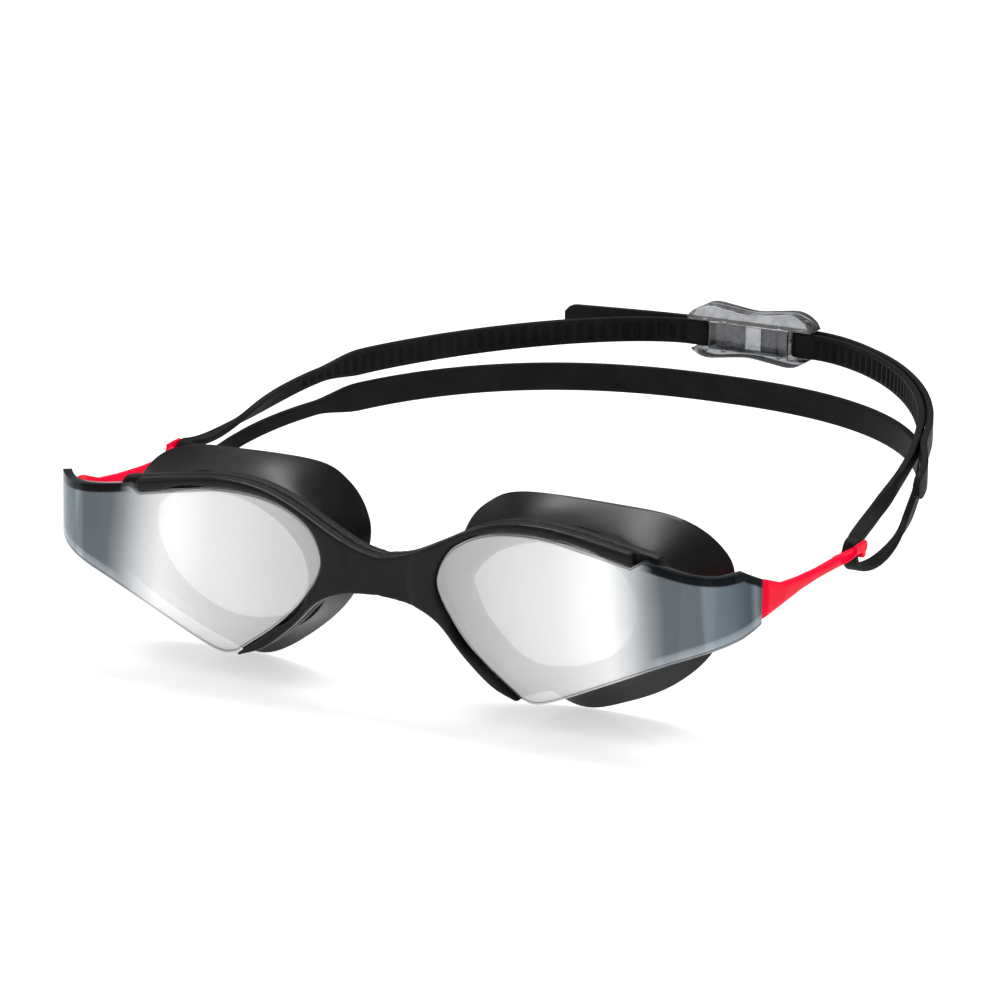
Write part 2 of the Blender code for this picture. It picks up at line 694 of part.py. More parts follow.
def upper_half_path():
    """Upper strap on the wearer's left, from just above the eyelet bar to the clasp's middle line."""
    turn_radius = EYELET_BAR_RADIUS + TURN_CLEARANCE + STRAP_THICKNESS / 2
    start = (EYELET_X, EYELET_BAR_Y + UPPER_NECK_BEHIND_BAR, EYELET_Z + turn_radius)
    x, y = loop_point(UPPER_LOOP, np.linspace(LOOP_START, math.pi / 2, 60), CLASP_HALF_LENGTH)
    back = np.column_stack([x, y, loop_height(UPPER_LOOP, UPPER_Z, y)])
    neck = led_in(start, UPPER_NECK_LEAVES, back, UPPER_NECK_REACH, 16)
    return np.vstack([neck, back])


def strap_line_y():
    """World y of the middle of the strap where it runs straight into the clasp."""
    return UPPER_LOOP[1] + UPPER_LOOP[2]


def clasp_face_y():
    return strap_line_y() - STRAP_THICKNESS / 2 - GAP - CLASP_PLATE


def bar_y():
    return strap_line_y() + STRAP_THICKNESS / 2 + GAP + BAR_RADIUS


def fold_radius():
    """Radius of the middle of the strap where it turns round a clasp bar."""
    return BAR_RADIUS + GAP + STRAP_THICKNESS / 2


def fold_path():
    """Plan of the strap's turn round a clasp bar, from the inside face to the outside."""
    radius = fold_radius()
    turns = np.linspace(-math.pi / 2, -3 * math.pi / 2, 9)
    x = BAR_X + radius * np.cos(turns)
    y = bar_y() + radius * np.sin(turns)
    return np.column_stack([x, y, np.full_like(x, UPPER_Z[1])])


def upper_strap(side_name, side, material, collection):
    """Upper strap: neck, back run, a fold round the clasp bar and a free tail outside it."""
    head, _ = evenly(upper_half_path(), STRAP_PITCH)
    fold = fold_path()
    leave = fold[-1]
    if side > 0:
        follow, _ = evenly(upper_half_path()[::-1], STRAP_PITCH * 1.5)
        follow = follow[(follow[:, 1] > LONG_TAIL_FREE_Y) & (follow[:, 0] > CLASP_HALF_LENGTH + LONG_TAIL_LEAD)]
        steps = directions(follow)
        follow = follow + np.cross((0, 0, 1), steps) * (STRAP_THICKNESS + TAIL_LIFT)
        first = bezier(leave, leave + (LONG_TAIL_LEAD / 2, 0, 0), follow[0] - steps[0] * 8, follow[0], 6)
        tip = np.array(LONG_TAIL_TIP)
        last = bezier(follow[-1], follow[-1] + steps[-1] * 9, tip + (-0.4, 10, 1.2), tip, 7)
        tail = np.vstack([first, follow[:-1], last, [tip]])
    else:
        tip = leave + SHORT_TAIL
        tail = np.vstack([bezier(leave, leave + (12, 0, 0), tip + (-10, 0.8, 0.2), tip, 8), [tip]])
    path = np.vstack([head, fold, tail[1:]])
    run = path[:, 1] - EYELET_BAR_Y
    on_head = np.arange(len(path)) < len(head)
    twist = np.where(on_head, eased((run - NECK_TWIST[0]) / NECK_TWIST[1]), 1.0)
    widths = np.where(on_head, strap_width(run, UPPER_WIDTH), UPPER_WIDTH)
    widths[-2:] = UPPER_WIDTH * np.array(TAIL_TAPER)
    mesh = loft(ribbon(path, twist, widths))
    return link(f"upper_strap_{side_name}", turned_over(mesh, side), material, collection)


def clasp_outline():
    """Waisted outline with round ends, as (x, z) about the clasp's middle."""
    lobe, waist = CLASP_LOBE_HALF_HEIGHT, CLASP_WAIST_HALF_HEIGHT
    end, lobe_x = CLASP_HALF_LENGTH, CLASP_LOBE_X
    quarter = [(0, waist), (lobe_x * 0.5, (waist + lobe) / 2), (lobe_x, lobe), (end - 2.6, lobe * 0.82),
               (end - 0.6, lobe * 0.5), (end, 0)]
    upper = quarter[:-1]
    points = upper + [quarter[-1]] + [(x, -z) for x, z in upper[::-1]]
    points += [(-x, -z) for x, z in upper[1:]] + [(-end, 0)] + [(-x, z) for x, z in upper[1:][::-1]]
    return smooth_run(points, steps=3, closed=True)


def clasp_body(material, collection):
    """Clasp: head-side plate, two waisted side walls and a round bar across each open end."""
    face = clasp_face_y()
    outline = clasp_outline() + (0, UPPER_Z[1] + CLASP_RISE)
    placed = link("clasp_body", stood_up(plate([outline], face, face + CLASP_DEPTH)), material, collection)
    bevel(placed, CLASP_EDGE_BEVEL)
    low, high = channel_span()
    end, inner = CLASP_HALF_LENGTH + 5, CLASP_PLATE_HALF_LENGTH
    floor, front, back = face + CLASP_PLATE, face - 5, face + CLASP_DEPTH + 5
    channel = [(-end, front), (-inner, front), (-inner, floor), (inner, floor), (inner, front), (end, front),
               (end, back), (-end, back)]
    boolean(placed, cutter("channel", plate([channel], low, high)), "DIFFERENCE")
    for side_name, side in SIDES:
        hole = upright_rod(
            side * LEVER_PIVOT_X, lever_y(), low - PIVOT_HOLE_DEPTH, high + PIVOT_HOLE_DEPTH,
            PIVOT_RADIUS + PIVOT_CLEARANCE,
        )
        boolean(placed, cutter(f"pivot_hole_{side_name}", hole), "DIFFERENCE")
        rod = upright_rod(side * BAR_X, bar_y(), low - BAR_ROOT, high + BAR_ROOT, BAR_RADIUS)
        boolean(placed, cutter(f"bar_{side_name}", rod), "UNION")
    return placed


def channel_span():
    """Lowest and highest z of the clasp's open channel, set by the strap that runs through it."""
    half = UPPER_WIDTH / 2 + CHANNEL_CLEARANCE
    return UPPER_Z[1] - half, UPPER_Z[1] + half


def lever_y():
    """World y of the lever pivots, halfway up the clasp's open channel."""
    return clasp_face_y() + CLASP_PLATE + (CLASP_DEPTH - CLASP_PLATE) * 0.5


def lever_tip_x():
    """Distance from the middle to a lever's outer end, which stays clear of the strap's fold."""
    return BAR_X - fold_radius() - STRAP_THICKNESS / 2 - LEVER_STRAP_CLEARANCE


def release_lever(side_name, side, material, collection):
    """Lever: a flat rocker on stub pivots, with a raised press pad and a tooth towards the strap's fold."""
    low, high = channel_span()
    tip = lever_tip_x()
    low, high = low + GAP, high - GAP
    y = lever_y()
    t = LEVER_THICKNESS / 2
    pad = LEVER_PIVOT_X - 1.6
    profile = (
        (LEVER_INNER_X, y - t), (tip - 0.6, y - t), (tip, y - t + 0.6), (tip, y + t),
        (pad + 0.8, y + t), (pad, y + t + LEVER_PAD_HEIGHT),
        (LEVER_INNER_X + 0.8, y + t + LEVER_PAD_HEIGHT), (LEVER_INNER_X, y + t),
    )
    mesh = turned_over(plate([profile], low, high), side)
    placed = link(f"release_lever_{side_name}", mesh, material, collection)
    bevel(placed, 0.25)
    reach = GAP + PIVOT_STUB
    rod = upright_rod(side * LEVER_PIVOT_X, y, low - reach, high + reach, PIVOT_RADIUS)
    boolean(placed, cutter(f"pivot_{side_name}", rod), "UNION")
    return placed


def put_on_axis(placed, axis_point):
    """Give a moving piece an origin on its joint's axis, with its shape left where it is."""
    point = np.array(axis_point, float) * MM
    shape = bmesh.new()
    shape.from_mesh(placed.data)
    bmesh.ops.translate(shape, vec=-point, verts=shape.verts)
    shape.to_mesh(placed.data)
    shape.free()
    placed.location = point


def main():
    clear_scene()
    goggles = new_collection(GOGGLES)
    new_collection(CUTTERS)
    lens_material = mirrored_lens()
    frame_material = black_frame()
    silicone = black_silicone()
    nylon = red_nylon()
    smoked = smoked_clear()
    strap_axis = (0, EYELET_BAR_Y, EYELET_Z)
    frame(frame_material, goggles)
    for side_name, side in SIDES:
        lens(side_name, side, lens_material, goggles)
        gasket_ring(side_name, side, frame_material, goggles)
        eye_seal(side_name, side, silicone, goggles)
        strap_clip(side_name, side, nylon, goggles)
        put_on_axis(upper_strap(side_name, side, silicone, goggles), strap_axis)
    put_on_axis(lower_strap(silicone, goggles), strap_axis)
    clasp_body(smoked, goggles)
    for side_name, side in SIDES:
        release_lever(side_name, side, smoked, goggles)


main()
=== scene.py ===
import math

import bmesh
import bpy
import numpy as np
from mathutils import Matrix, Vector


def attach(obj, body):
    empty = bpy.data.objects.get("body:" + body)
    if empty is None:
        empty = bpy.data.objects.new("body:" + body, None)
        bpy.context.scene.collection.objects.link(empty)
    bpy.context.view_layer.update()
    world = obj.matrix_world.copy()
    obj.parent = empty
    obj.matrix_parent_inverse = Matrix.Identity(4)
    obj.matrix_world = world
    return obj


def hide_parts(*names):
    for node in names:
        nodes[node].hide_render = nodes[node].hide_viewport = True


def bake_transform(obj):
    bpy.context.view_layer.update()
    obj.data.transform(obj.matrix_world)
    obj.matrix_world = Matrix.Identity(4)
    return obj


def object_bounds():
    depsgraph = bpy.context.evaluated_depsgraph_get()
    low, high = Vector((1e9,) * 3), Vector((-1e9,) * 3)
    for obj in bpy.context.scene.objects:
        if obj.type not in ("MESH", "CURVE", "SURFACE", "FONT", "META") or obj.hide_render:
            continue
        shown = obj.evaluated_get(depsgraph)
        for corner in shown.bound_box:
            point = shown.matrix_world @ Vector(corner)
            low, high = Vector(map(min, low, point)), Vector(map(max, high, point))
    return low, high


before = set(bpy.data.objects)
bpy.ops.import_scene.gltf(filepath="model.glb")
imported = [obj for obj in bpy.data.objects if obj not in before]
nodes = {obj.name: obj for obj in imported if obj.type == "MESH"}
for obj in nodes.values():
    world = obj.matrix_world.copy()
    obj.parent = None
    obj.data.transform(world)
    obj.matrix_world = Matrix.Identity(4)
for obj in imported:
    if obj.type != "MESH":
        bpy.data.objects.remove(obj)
cad_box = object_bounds()

# ---- Studio ---------------------------------------------------------------------------------------------
# A pale lacquered table top under a white surround, with a large overhead softbox, a tall side softbox and
# a low front card. The goggles stand on the lower edges of their seals.

MM = 0.001
FLOOR_WHITE = "#BEBEBE"
FLOOR_GLOW = 0.55
FLAGGED_LIGHT = 0.22
CAMERA_TURN = math.radians(28)
CAMERA_RISE = math.radians(16)
CAMERA_ROLL = math.radians(0.7)
CAMERA_DISTANCE = 1061.6
CAMERA_LENS = 180
CAMERA_AIM = (0.02434, 0.01448)
CAMERA_TARGET = (0, -6, 0)
FLOOR_DROP = 0.4  # mm between the lowest point and the table, so that the two never share a face


def linear(colour):
    """Linear RGBA of an sRGB hex value: (c + 0.055) / 1.055 to the power 2.4, or c / 12.92 near black."""
    parts = np.array([int(colour[i : i + 2], 16) for i in (1, 3, 5)]) / 255
    parts = np.where(parts > 0.04045, ((parts + 0.055) / 1.055) ** 2.4, parts / 12.92)
    return (*parts, 1.0)


def add(tree, kind, settings=None, **inputs):
    """One shader node: settings are its properties, inputs are values or other nodes' sockets by name."""
    made = tree.nodes.new("ShaderNode" + kind)
    for key, value in (settings or {}).items():
        setattr(made, key, value)
    for key, value in inputs.items():
        name = key.replace("_", " ")
        socket = made.inputs[int(key[1:])] if key[1:].isdigit() else made.inputs[name]
        if isinstance(value, bpy.types.NodeSocket):
            tree.links.new(value, socket)
        else:
            socket.default_value = value
    return made


def ramp(tree, value, stops):
    """Colour ramp over (position, hex) stops, driven by a socket."""
    made = add(tree, "ValToRGB", Fac=value)
    colours = made.color_ramp.elements
    while len(colours) < len(stops):
        colours.new(0.5)
    for element, (position, colour) in zip(colours, stops):
        element.position = position
        element.color = linear(colour)
    return made.outputs["Color"]


def finish_of(name):
    """An empty node material with its Principled shader: (material, tree, shader)."""
    made = bpy.data.materials.new(name)
    made.use_nodes = True
    return made, made.node_tree, made.node_tree.nodes["Principled BSDF"]


def lacquered_top():
    """White lacquer: faint mottling of the gloss, so that the goggles' reflection is soft."""
    made, tree, shader = finish_of("white_lacquer")
    place = add(tree, "TexCoord").outputs["Object"]
    mottle = add(tree, "TexNoise", Vector=place, Scale=40.0, Detail=2.0).outputs["Fac"]
    rough = add(tree, "MapRange", Value=mottle, To_Min=0.10, To_Max=0.16).outputs["Result"]
    tree.links.new(rough, shader.inputs["Roughness"])
    shader.inputs["Base Color"].default_value = linear(FLOOR_WHITE)
    shader.inputs["IOR"].default_value = 1.5
    shader.inputs["Emission Color"].default_value = (1, 1, 1, 1)
    shader.inputs["Emission Strength"].default_value = FLOOR_GLOW
    return made


def softbox(name, place, aim, size, power):
    """Rectangular area lamp at a place, turned so that its face looks at the aim."""
    lamp = bpy.data.lights.new(name, "AREA")
    lamp.shape = "RECTANGLE"
    lamp.size, lamp.size_y = size
    lamp.energy = power
    holder = bpy.data.objects.new(name, lamp)
    holder.location = place
    holder.rotation_mode = "QUATERNION"
    holder.rotation_quaternion = (Vector(aim) - Vector(place)).to_track_quat("-Z", "Y")
    bpy.context.scene.collection.objects.link(holder)


floor_mesh = bpy.data.meshes.new("table_top")
reach, floor_z = 6.0, cad_box[0].z - FLOOR_DROP * MM
floor_mesh.from_pydata(
    [(-reach, -reach, floor_z), (reach, -reach, floor_z), (reach, reach, floor_z), (-reach, reach, floor_z)],
    [],
    [(0, 1, 2, 3)],
)
table_top = bpy.data.objects.new("table_top", floor_mesh)
bpy.context.scene.collection.objects.link(table_top)
floor_mesh.materials.append(lacquered_top())

world = bpy.data.worlds.new("white_surround")
bpy.context.scene.world = world
world.use_nodes = True
# The surround lights and shows white, and glossy surfaces see it dimmed, as through black studio flags.
glossy = add(world.node_tree, "LightPath").outputs["Is Glossy Ray"]
strength = add(world.node_tree, "MapRange", Value=glossy, To_Min=1.0, To_Max=FLAGGED_LIGHT).outputs["Result"]
surround = world.node_tree.nodes["Background"]
surround.inputs["Color"].default_value = (1, 1, 1, 1)
world.node_tree.links.new(strength, surround.inputs["Strength"])

softbox("overhead_softbox", (0.0, 0.35, 0.80), (0, 0.06, 0), (0.9, 0.35), 9.0)
softbox("side_softbox", (-0.9, -0.35, 0.45), (0, 0, 0), (0.30, 0.8), 2.0)
softbox("front_card", (0.25, -1.3, 0.35), (0, 0, 0), (1.4, 0.4), 1.5)

turn, rise, roll = CAMERA_TURN, CAMERA_RISE, CAMERA_ROLL
look = Vector((-math.sin(turn) * math.cos(rise), math.cos(turn) * math.cos(rise), -math.sin(rise)))
right = Vector((math.cos(turn), math.sin(turn), 0))
up = right.cross(look)
right, up = right * math.cos(roll) + up * math.sin(roll), up * math.cos(roll) - right * math.sin(roll)
target = Vector(CAMERA_TARGET) * MM
aim = (look + right * CAMERA_AIM[0] + up * CAMERA_AIM[1]).normalized()
side_axis = (right - aim * right.dot(aim)).normalized()
turned = Matrix((side_axis, (-aim).cross(side_axis), -aim)).transposed()
camera_data = bpy.data.cameras.new("camera")
camera_data.lens = CAMERA_LENS
camera_data.sensor_width = 36
camera_data.clip_start, camera_data.clip_end = 0.05, 30
camera = bpy.data.objects.new("camera", camera_data)
camera.matrix_world = Matrix.Translation(target - look * CAMERA_DISTANCE * MM) @ turned.to_4x4()
bpy.context.scene.collection.objects.link(camera)
bpy.context.scene.camera = camera
bpy.context.scene.view_settings.view_transform = "Standard"

# ---- Frame ----------------------------------------------------------------------------------------------
# The frame is one moulding in black glass-filled nylon: a nose bridge, a lip round the nose side of each
# lens, and behind it a second band that the seal's ring snaps on to. Its mould was sandblasted.

SIDES = (("left", 1), ("right", -1))
EYE = (39.0, -2.5)
FRAME_BLACK = "#171718"
BLAST_GRAIN = 0.35  # mm between grains, coarser than the real 0.1 so that it shows


def moulded_nylon():
    """Sandblasted black nylon: satin, with a fine even grain and slightly polished high spots."""
    made, tree, shader = finish_of("blasted_black_nylon")
    place = add(tree, "TexCoord").outputs["Object"]
    grain = add(tree, "TexNoise", Vector=place, Scale=1 / (BLAST_GRAIN * MM), Detail=3.0).outputs["Fac"]
    patch = add(tree, "TexNoise", Vector=place, Scale=1 / (6 * MM), Detail=2.0).outputs["Fac"]
    polished = add(tree, "Attribute", {"attribute_name": "polished"}).outputs["Fac"]
    blasted = add(tree, "MapRange", Value=polished, To_Min=1.0, To_Max=0.15).outputs["Result"]
    worn = add(tree, "MapRange", Value=patch, To_Min=0.36, To_Max=0.46).outputs["Result"]
    rough = add(tree, "Math", {"operation": "MULTIPLY_ADD"}, _0=polished, _1=-0.06, _2=worn).outputs["Value"]
    height = add(tree, "Math", {"operation": "MULTIPLY"}, _0=grain, _1=blasted).outputs["Value"]
    lumps = add(tree, "Bump", Height=height, Strength=1.0, Distance=0.16 * MM)
    shade = ramp(tree, patch, ((0.3, "#121212"), (0.7, FRAME_BLACK)))
    tree.links.new(shade, shader.inputs["Base Color"])
    tree.links.new(rough, shader.inputs["Roughness"])
    tree.links.new(lumps.outputs["Normal"], shader.inputs["Normal"])
    shader.inputs["IOR"].default_value = 1.5
    shader.inputs["Specular IOR Level"].default_value = 0.15
    return made


def dress(name, material):
    """Give a CAD node its finish."""
    slots = nodes[name].data.materials
    slots.clear()
    slots.append(material)


FRAME_VOXEL, FRAME_PASSES = 0.36, 5
GROOVE_Y, GROOVE_WIDTH, GROOVE_DEPTH = -3.7, 0.42, 0.9
BEAD_HEIGHT, BEAD_WIDTH, NOSE_BEAD_WIDTH = 0.45, 2.6, 6.5
LIP_GAP = 0.3  # mm between the lens's edge and the foot of the bead
NOSE_REACH, NOSE_FADE = 19, 6
BEAD_FACE_Y, BARE_FACE_Y = -5.5, -5


def softened(source, voxel, passes):
    """Copy of a CAD mesh with its doubles merged, remade as even small faces and relaxed so that edges round."""
    made = bpy.data.meshes.new_from_object(source)
    shape = bmesh.new()
    shape.from_mesh(made)
    bmesh.ops.remove_doubles(shape, verts=shape.verts, dist=0.001 * MM)
    shape.to_mesh(made)
    shape.free()
    holder = bpy.data.objects.new("moulding", made)
    bpy.context.scene.collection.objects.link(holder)
    remade = holder.modifiers.new("even_faces", "REMESH")
    remade.mode = "VOXEL"
    remade.voxel_size = voxel * MM
    relaxed = holder.modifiers.new("rounded", "SMOOTH")
    relaxed.factor = 0.5
    relaxed.iterations = passes
    graph = bpy.context.evaluated_depsgraph_get()
    result = bpy.data.meshes.new_from_object(holder.evaluated_get(graph))
    bpy.data.objects.remove(holder)
    return result


def remoulded(name, node, body, material, voxel, passes):
    """A hard CAD node shown with its edges rounded, riding on its body in the node's stead."""
    mesh = softened(nodes[node], voxel, passes)
    mesh.shade_smooth()
    mesh.materials.clear()
    mesh.materials.append(material)
    made = bpy.data.objects.new(name, mesh)
    bpy.context.scene.collection.objects.link(made)
    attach(made, body)
    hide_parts(node)


def nearest(points, line):
    """Distance in the front plane from each point to the nearest point of a line."""
    return np.concatenate([
        np.sqrt(((part[:, None, :] - line[None, :, :]) ** 2).sum(-1)).min(1) for part in np.array_split(points, 40)
    ])


def moulded_frame(lens_outline, eye_middle):
    """The frame's moulding, worked over point by point.

    Outer walls are cut in by GROOVE_DEPTH exp(-((y - groove) / width)^2), which parts the front lip from the rear
    band. The front face swells by BEAD_HEIGHT (1 - q^4) at a share q of the bead's width from the lens, and the
    bead is wider beside the nose.
    """
    made = softened(nodes["frame"], FRAME_VOXEL, FRAME_PASSES)
    count = len(made.vertices)
    place, normal = np.empty(count * 3, np.float32), np.empty(count * 3, np.float32)
    made.vertices.foreach_get("co", place)
    made.vertices.foreach_get("normal", normal)
    place, normal = place.reshape(-1, 3).astype(float) / MM, normal.reshape(-1, 3).astype(float)
    side = np.where(place[:, 0] < 0, -1.0, 1.0)
    flat = np.column_stack([place[:, 0] * side, place[:, 2]])
    outward = (normal[:, 0] * side) * (flat[:, 0] - eye_middle[0]) + normal[:, 2] * (flat[:, 1] - eye_middle[1])
    # Only walls that face sideways and away from the eye are cut.
    wall = np.clip(1.4 - 1.6 * np.abs(normal[:, 1]), 0, 1) * (outward > 0)
    cut = GROOVE_DEPTH * np.exp(-(((place[:, 1] - GROOVE_Y) / GROOVE_WIDTH) ** 2)) * wall
    place[:, 0] -= normal[:, 0] * cut
    place[:, 2] -= normal[:, 2] * cut
    away = nearest(flat, lens_outline)
    nose = np.clip((NOSE_REACH - flat[:, 0]) / NOSE_FADE, 0, 1)
    width = BEAD_WIDTH * (1 - nose) + NOSE_BEAD_WIDTH * nose
    q = np.clip((away - LIP_GAP - width / 2) / (width / 2), -1, 1)
    front = np.clip((-normal[:, 1] - 0.3) / 0.4, 0, 1) * (place[:, 1] < BEAD_FACE_Y)
    place[:, 1] -= BEAD_HEIGHT * (1 - q**4) * front
    made.vertices.foreach_set("co", (place * MM).astype(np.float32).ravel())
    made.update()
    bare = np.clip((1 - np.abs(q)) * 3, 0, 1) * (place[:, 1] < BARE_FACE_Y)
    made.attributes.new("polished", "FLOAT", "POINT").data.foreach_set("value", bare.astype(np.float32))
    made.shade_smooth()
    made.materials.clear()
    made.materials.append(frame_finish)
    moulded = bpy.data.objects.new("moulded_frame", made)
    bpy.context.scene.collection.objects.link(moulded)
    return moulded


frame_finish = moulded_nylon()
for side_name, side in SIDES:
    dress(f"gasket_ring_{side_name}", frame_finish)

# ---- Lenses ---------------------------------------------------------------------------------------------
# Each lens is a polycarbonate plate, 2 mm thick, nearly flat before the eye and bent back round the temple.
# Its front carries a silver mirror coating that thins to a smoky blue grey on the bent wing, with painted
# reflection.

LENS_FRONT = -6.0
LENS_THICKNESS = 2.0
WRAP_START = 70.0
WRAP_RADIUS = 15.0
LENS_BULGE = 0.45
BULGE_MIDDLE, BULGE_REACH = (42, -4), (30, 20)
LENS_CORNERS = [34.5, 59, 61.5, 84, 89]
NOSE_COLUMNS, COLUMN_PITCH, LENS_ROWS = 40, 0.8, 33
LENS_EDGE_ROUND = 0.35
LIP_ENDS = (35, 59.3)
LENS_NOSE = (
    (34.5, -22.8), (25, -15.7), (18.6, -9), (14.6, -2.5), (14.4, 2.5), (18, 8.2), (26, 12.1), (37, 13.2),
    (48, 11.6), (59, 9.6),
)
LENS_LOW = ((34.5, -22.8), (37.8, -23.4), (43, -21.8), (55, -16.3), (70, -9.4), (84, -4)), ((84, -4), (89, -1.5))
LENS_HIGH = (
    ((59, 9.6), (61.5, 11.2)),
    ((61.5, 11.2), (70, 9.9), (78, 9.5), (84, 10.3)),
    ((84, 10.3), (89, 8.2)),
)


def smooth_run(points, steps, closed=False):
    """Catmull-Rom curve: each span is the cubic through its own two points and their neighbours' slopes."""
    knots = np.array(points, float)
    if closed:
        before, after, past = np.roll(knots, 1, 0), np.roll(knots, -1, 0), np.roll(knots, -2, 0)
        start = knots
    else:
        ends = np.vstack([2 * knots[0] - knots[1], knots, 2 * knots[-1] - knots[-2]])
        before, start, after, past = ends[:-3], ends[1:-2], ends[2:-1], ends[3:]
    t = (np.arange(steps) / steps)[None, :, None]
    before, start, after, past = (each[:, None, :] for each in (before, start, after, past))
    curve = 0.5 * (
        2 * start
        + (after - before) * t
        + (2 * before - 5 * start + 4 * after - past) * t**2
        + (3 * start - before - 3 * after + past) * t**3
    )
    return curve.reshape(-1, knots.shape[1])


def lens_edges():
    """The lens's lower and upper edge lines, both from its foremost point beside the nose out to the wing's end."""
    nose = np.vstack([smooth_run(LENS_NOSE, 24), [LENS_NOSE[-1]]])
    first = int(np.argmin(nose[:, 0]))
    runs = [
        np.vstack([smooth_run(run, 12 if len(run) > 2 else 1) for run in each] + [[each[-1][-1]]])
        for each in (LENS_LOW, LENS_HIGH)
    ]
    return np.vstack([nose[first::-1], runs[0][1:]]), np.vstack([nose[first:], runs[1][1:]])


low_edge, high_edge = lens_edges()


def skin(name, grid, material, close_across=True, close_along=False, attributes=()):
    """Mesh over a grid of points in millimetres, stations first, with quads between neighbours.

    Rings may close across, the path may close along, and open ends of closed rings get a cap.
    Faces are turned outwards and shaded smooth except where they meet at more than 40 degrees.
    """
    count, around = grid.shape[:2]
    index = np.arange(count * around).reshape(count, around)
    rows = index if not close_along else np.vstack([index, index[:1]])
    columns = rows if not close_across else np.hstack([rows, rows[:, :1]])
    quads = np.stack([columns[:-1, :-1], columns[:-1, 1:], columns[1:, 1:], columns[1:, :-1]], -1).reshape(-1, 4)
    faces = quads.tolist()
    if close_across and not close_along:
        faces += [index[0].tolist(), index[-1][::-1].tolist()]
    mesh = bpy.data.meshes.new(name)
    mesh.from_pydata((grid.reshape(-1, 3) * MM).tolist(), [], faces)
    for key, values in attributes:
        mesh.attributes.new(key, "FLOAT", "POINT").data.foreach_set("value", np.asarray(values, np.float32).ravel())
    shape = bmesh.new()
    shape.from_mesh(mesh)
    bmesh.ops.remove_doubles(shape, verts=shape.verts, dist=0.0005 * MM)
    bmesh.ops.recalc_face_normals(shape, faces=shape.faces)
    shape.to_mesh(mesh)
    shape.free()
    mesh.shade_smooth()
    mesh.set_sharp_from_angle(angle=math.radians(40))
    made = bpy.data.objects.new(name, mesh)
    bpy.context.scene.collection.objects.link(made)
    mesh.materials.append(material)
    return made


def lens_surface(side):
    """Front face: columns along the plate, heights between its edges.

    The plate lies in the plane y = LENS_FRONT up to WRAP_START and then on a cylinder of WRAP_RADIUS; a bulge of
    (1 - u^2)^2 (1 - v^2) rounds the flat part. Each point carries its distance along the plate and from both edges.
    """
    corners = LENS_CORNERS
    start = low_edge[0, 0]
    nose = start + (corners[0] - start) * (1 - np.cos(np.linspace(0, math.pi / 2, NOSE_COLUMNS, endpoint=False)))
    spans = [
        np.linspace(a, b, max(int((b - a) / COLUMN_PITCH), 3), endpoint=False)
        for a, b in zip(corners[:-1], corners[1:])
    ]
    along = np.concatenate([nose] + spans + [[corners[-1]]])
    share = np.linspace(0, 1, LENS_ROWS)
    low = np.interp(along, low_edge[:, 0], low_edge[:, 1])
    high = np.interp(along, high_edge[:, 0], high_edge[:, 1])
    z = low[:, None] + (high - low)[:, None] * share[None, :]
    s = np.broadcast_to(along[:, None], z.shape)
    turned_by = np.maximum(s - WRAP_START, 0) / WRAP_RADIUS
    u = np.clip((s - BULGE_MIDDLE[0]) / BULGE_REACH[0], -1, 1)
    v = np.clip((z - BULGE_MIDDLE[1]) / BULGE_REACH[1], -1, 1)
    x = np.minimum(s, WRAP_START) + WRAP_RADIUS * np.sin(turned_by)
    y = LENS_FRONT + WRAP_RADIUS * (1 - np.cos(turned_by)) - LENS_BULGE * (1 - u**2) ** 2 * (1 - v**2)
    grid = np.stack([x * side, y, z], -1)
    return grid, (("along", s), ("from_top", high[:, None] - z), ("from_bottom", z - low[:, None]))


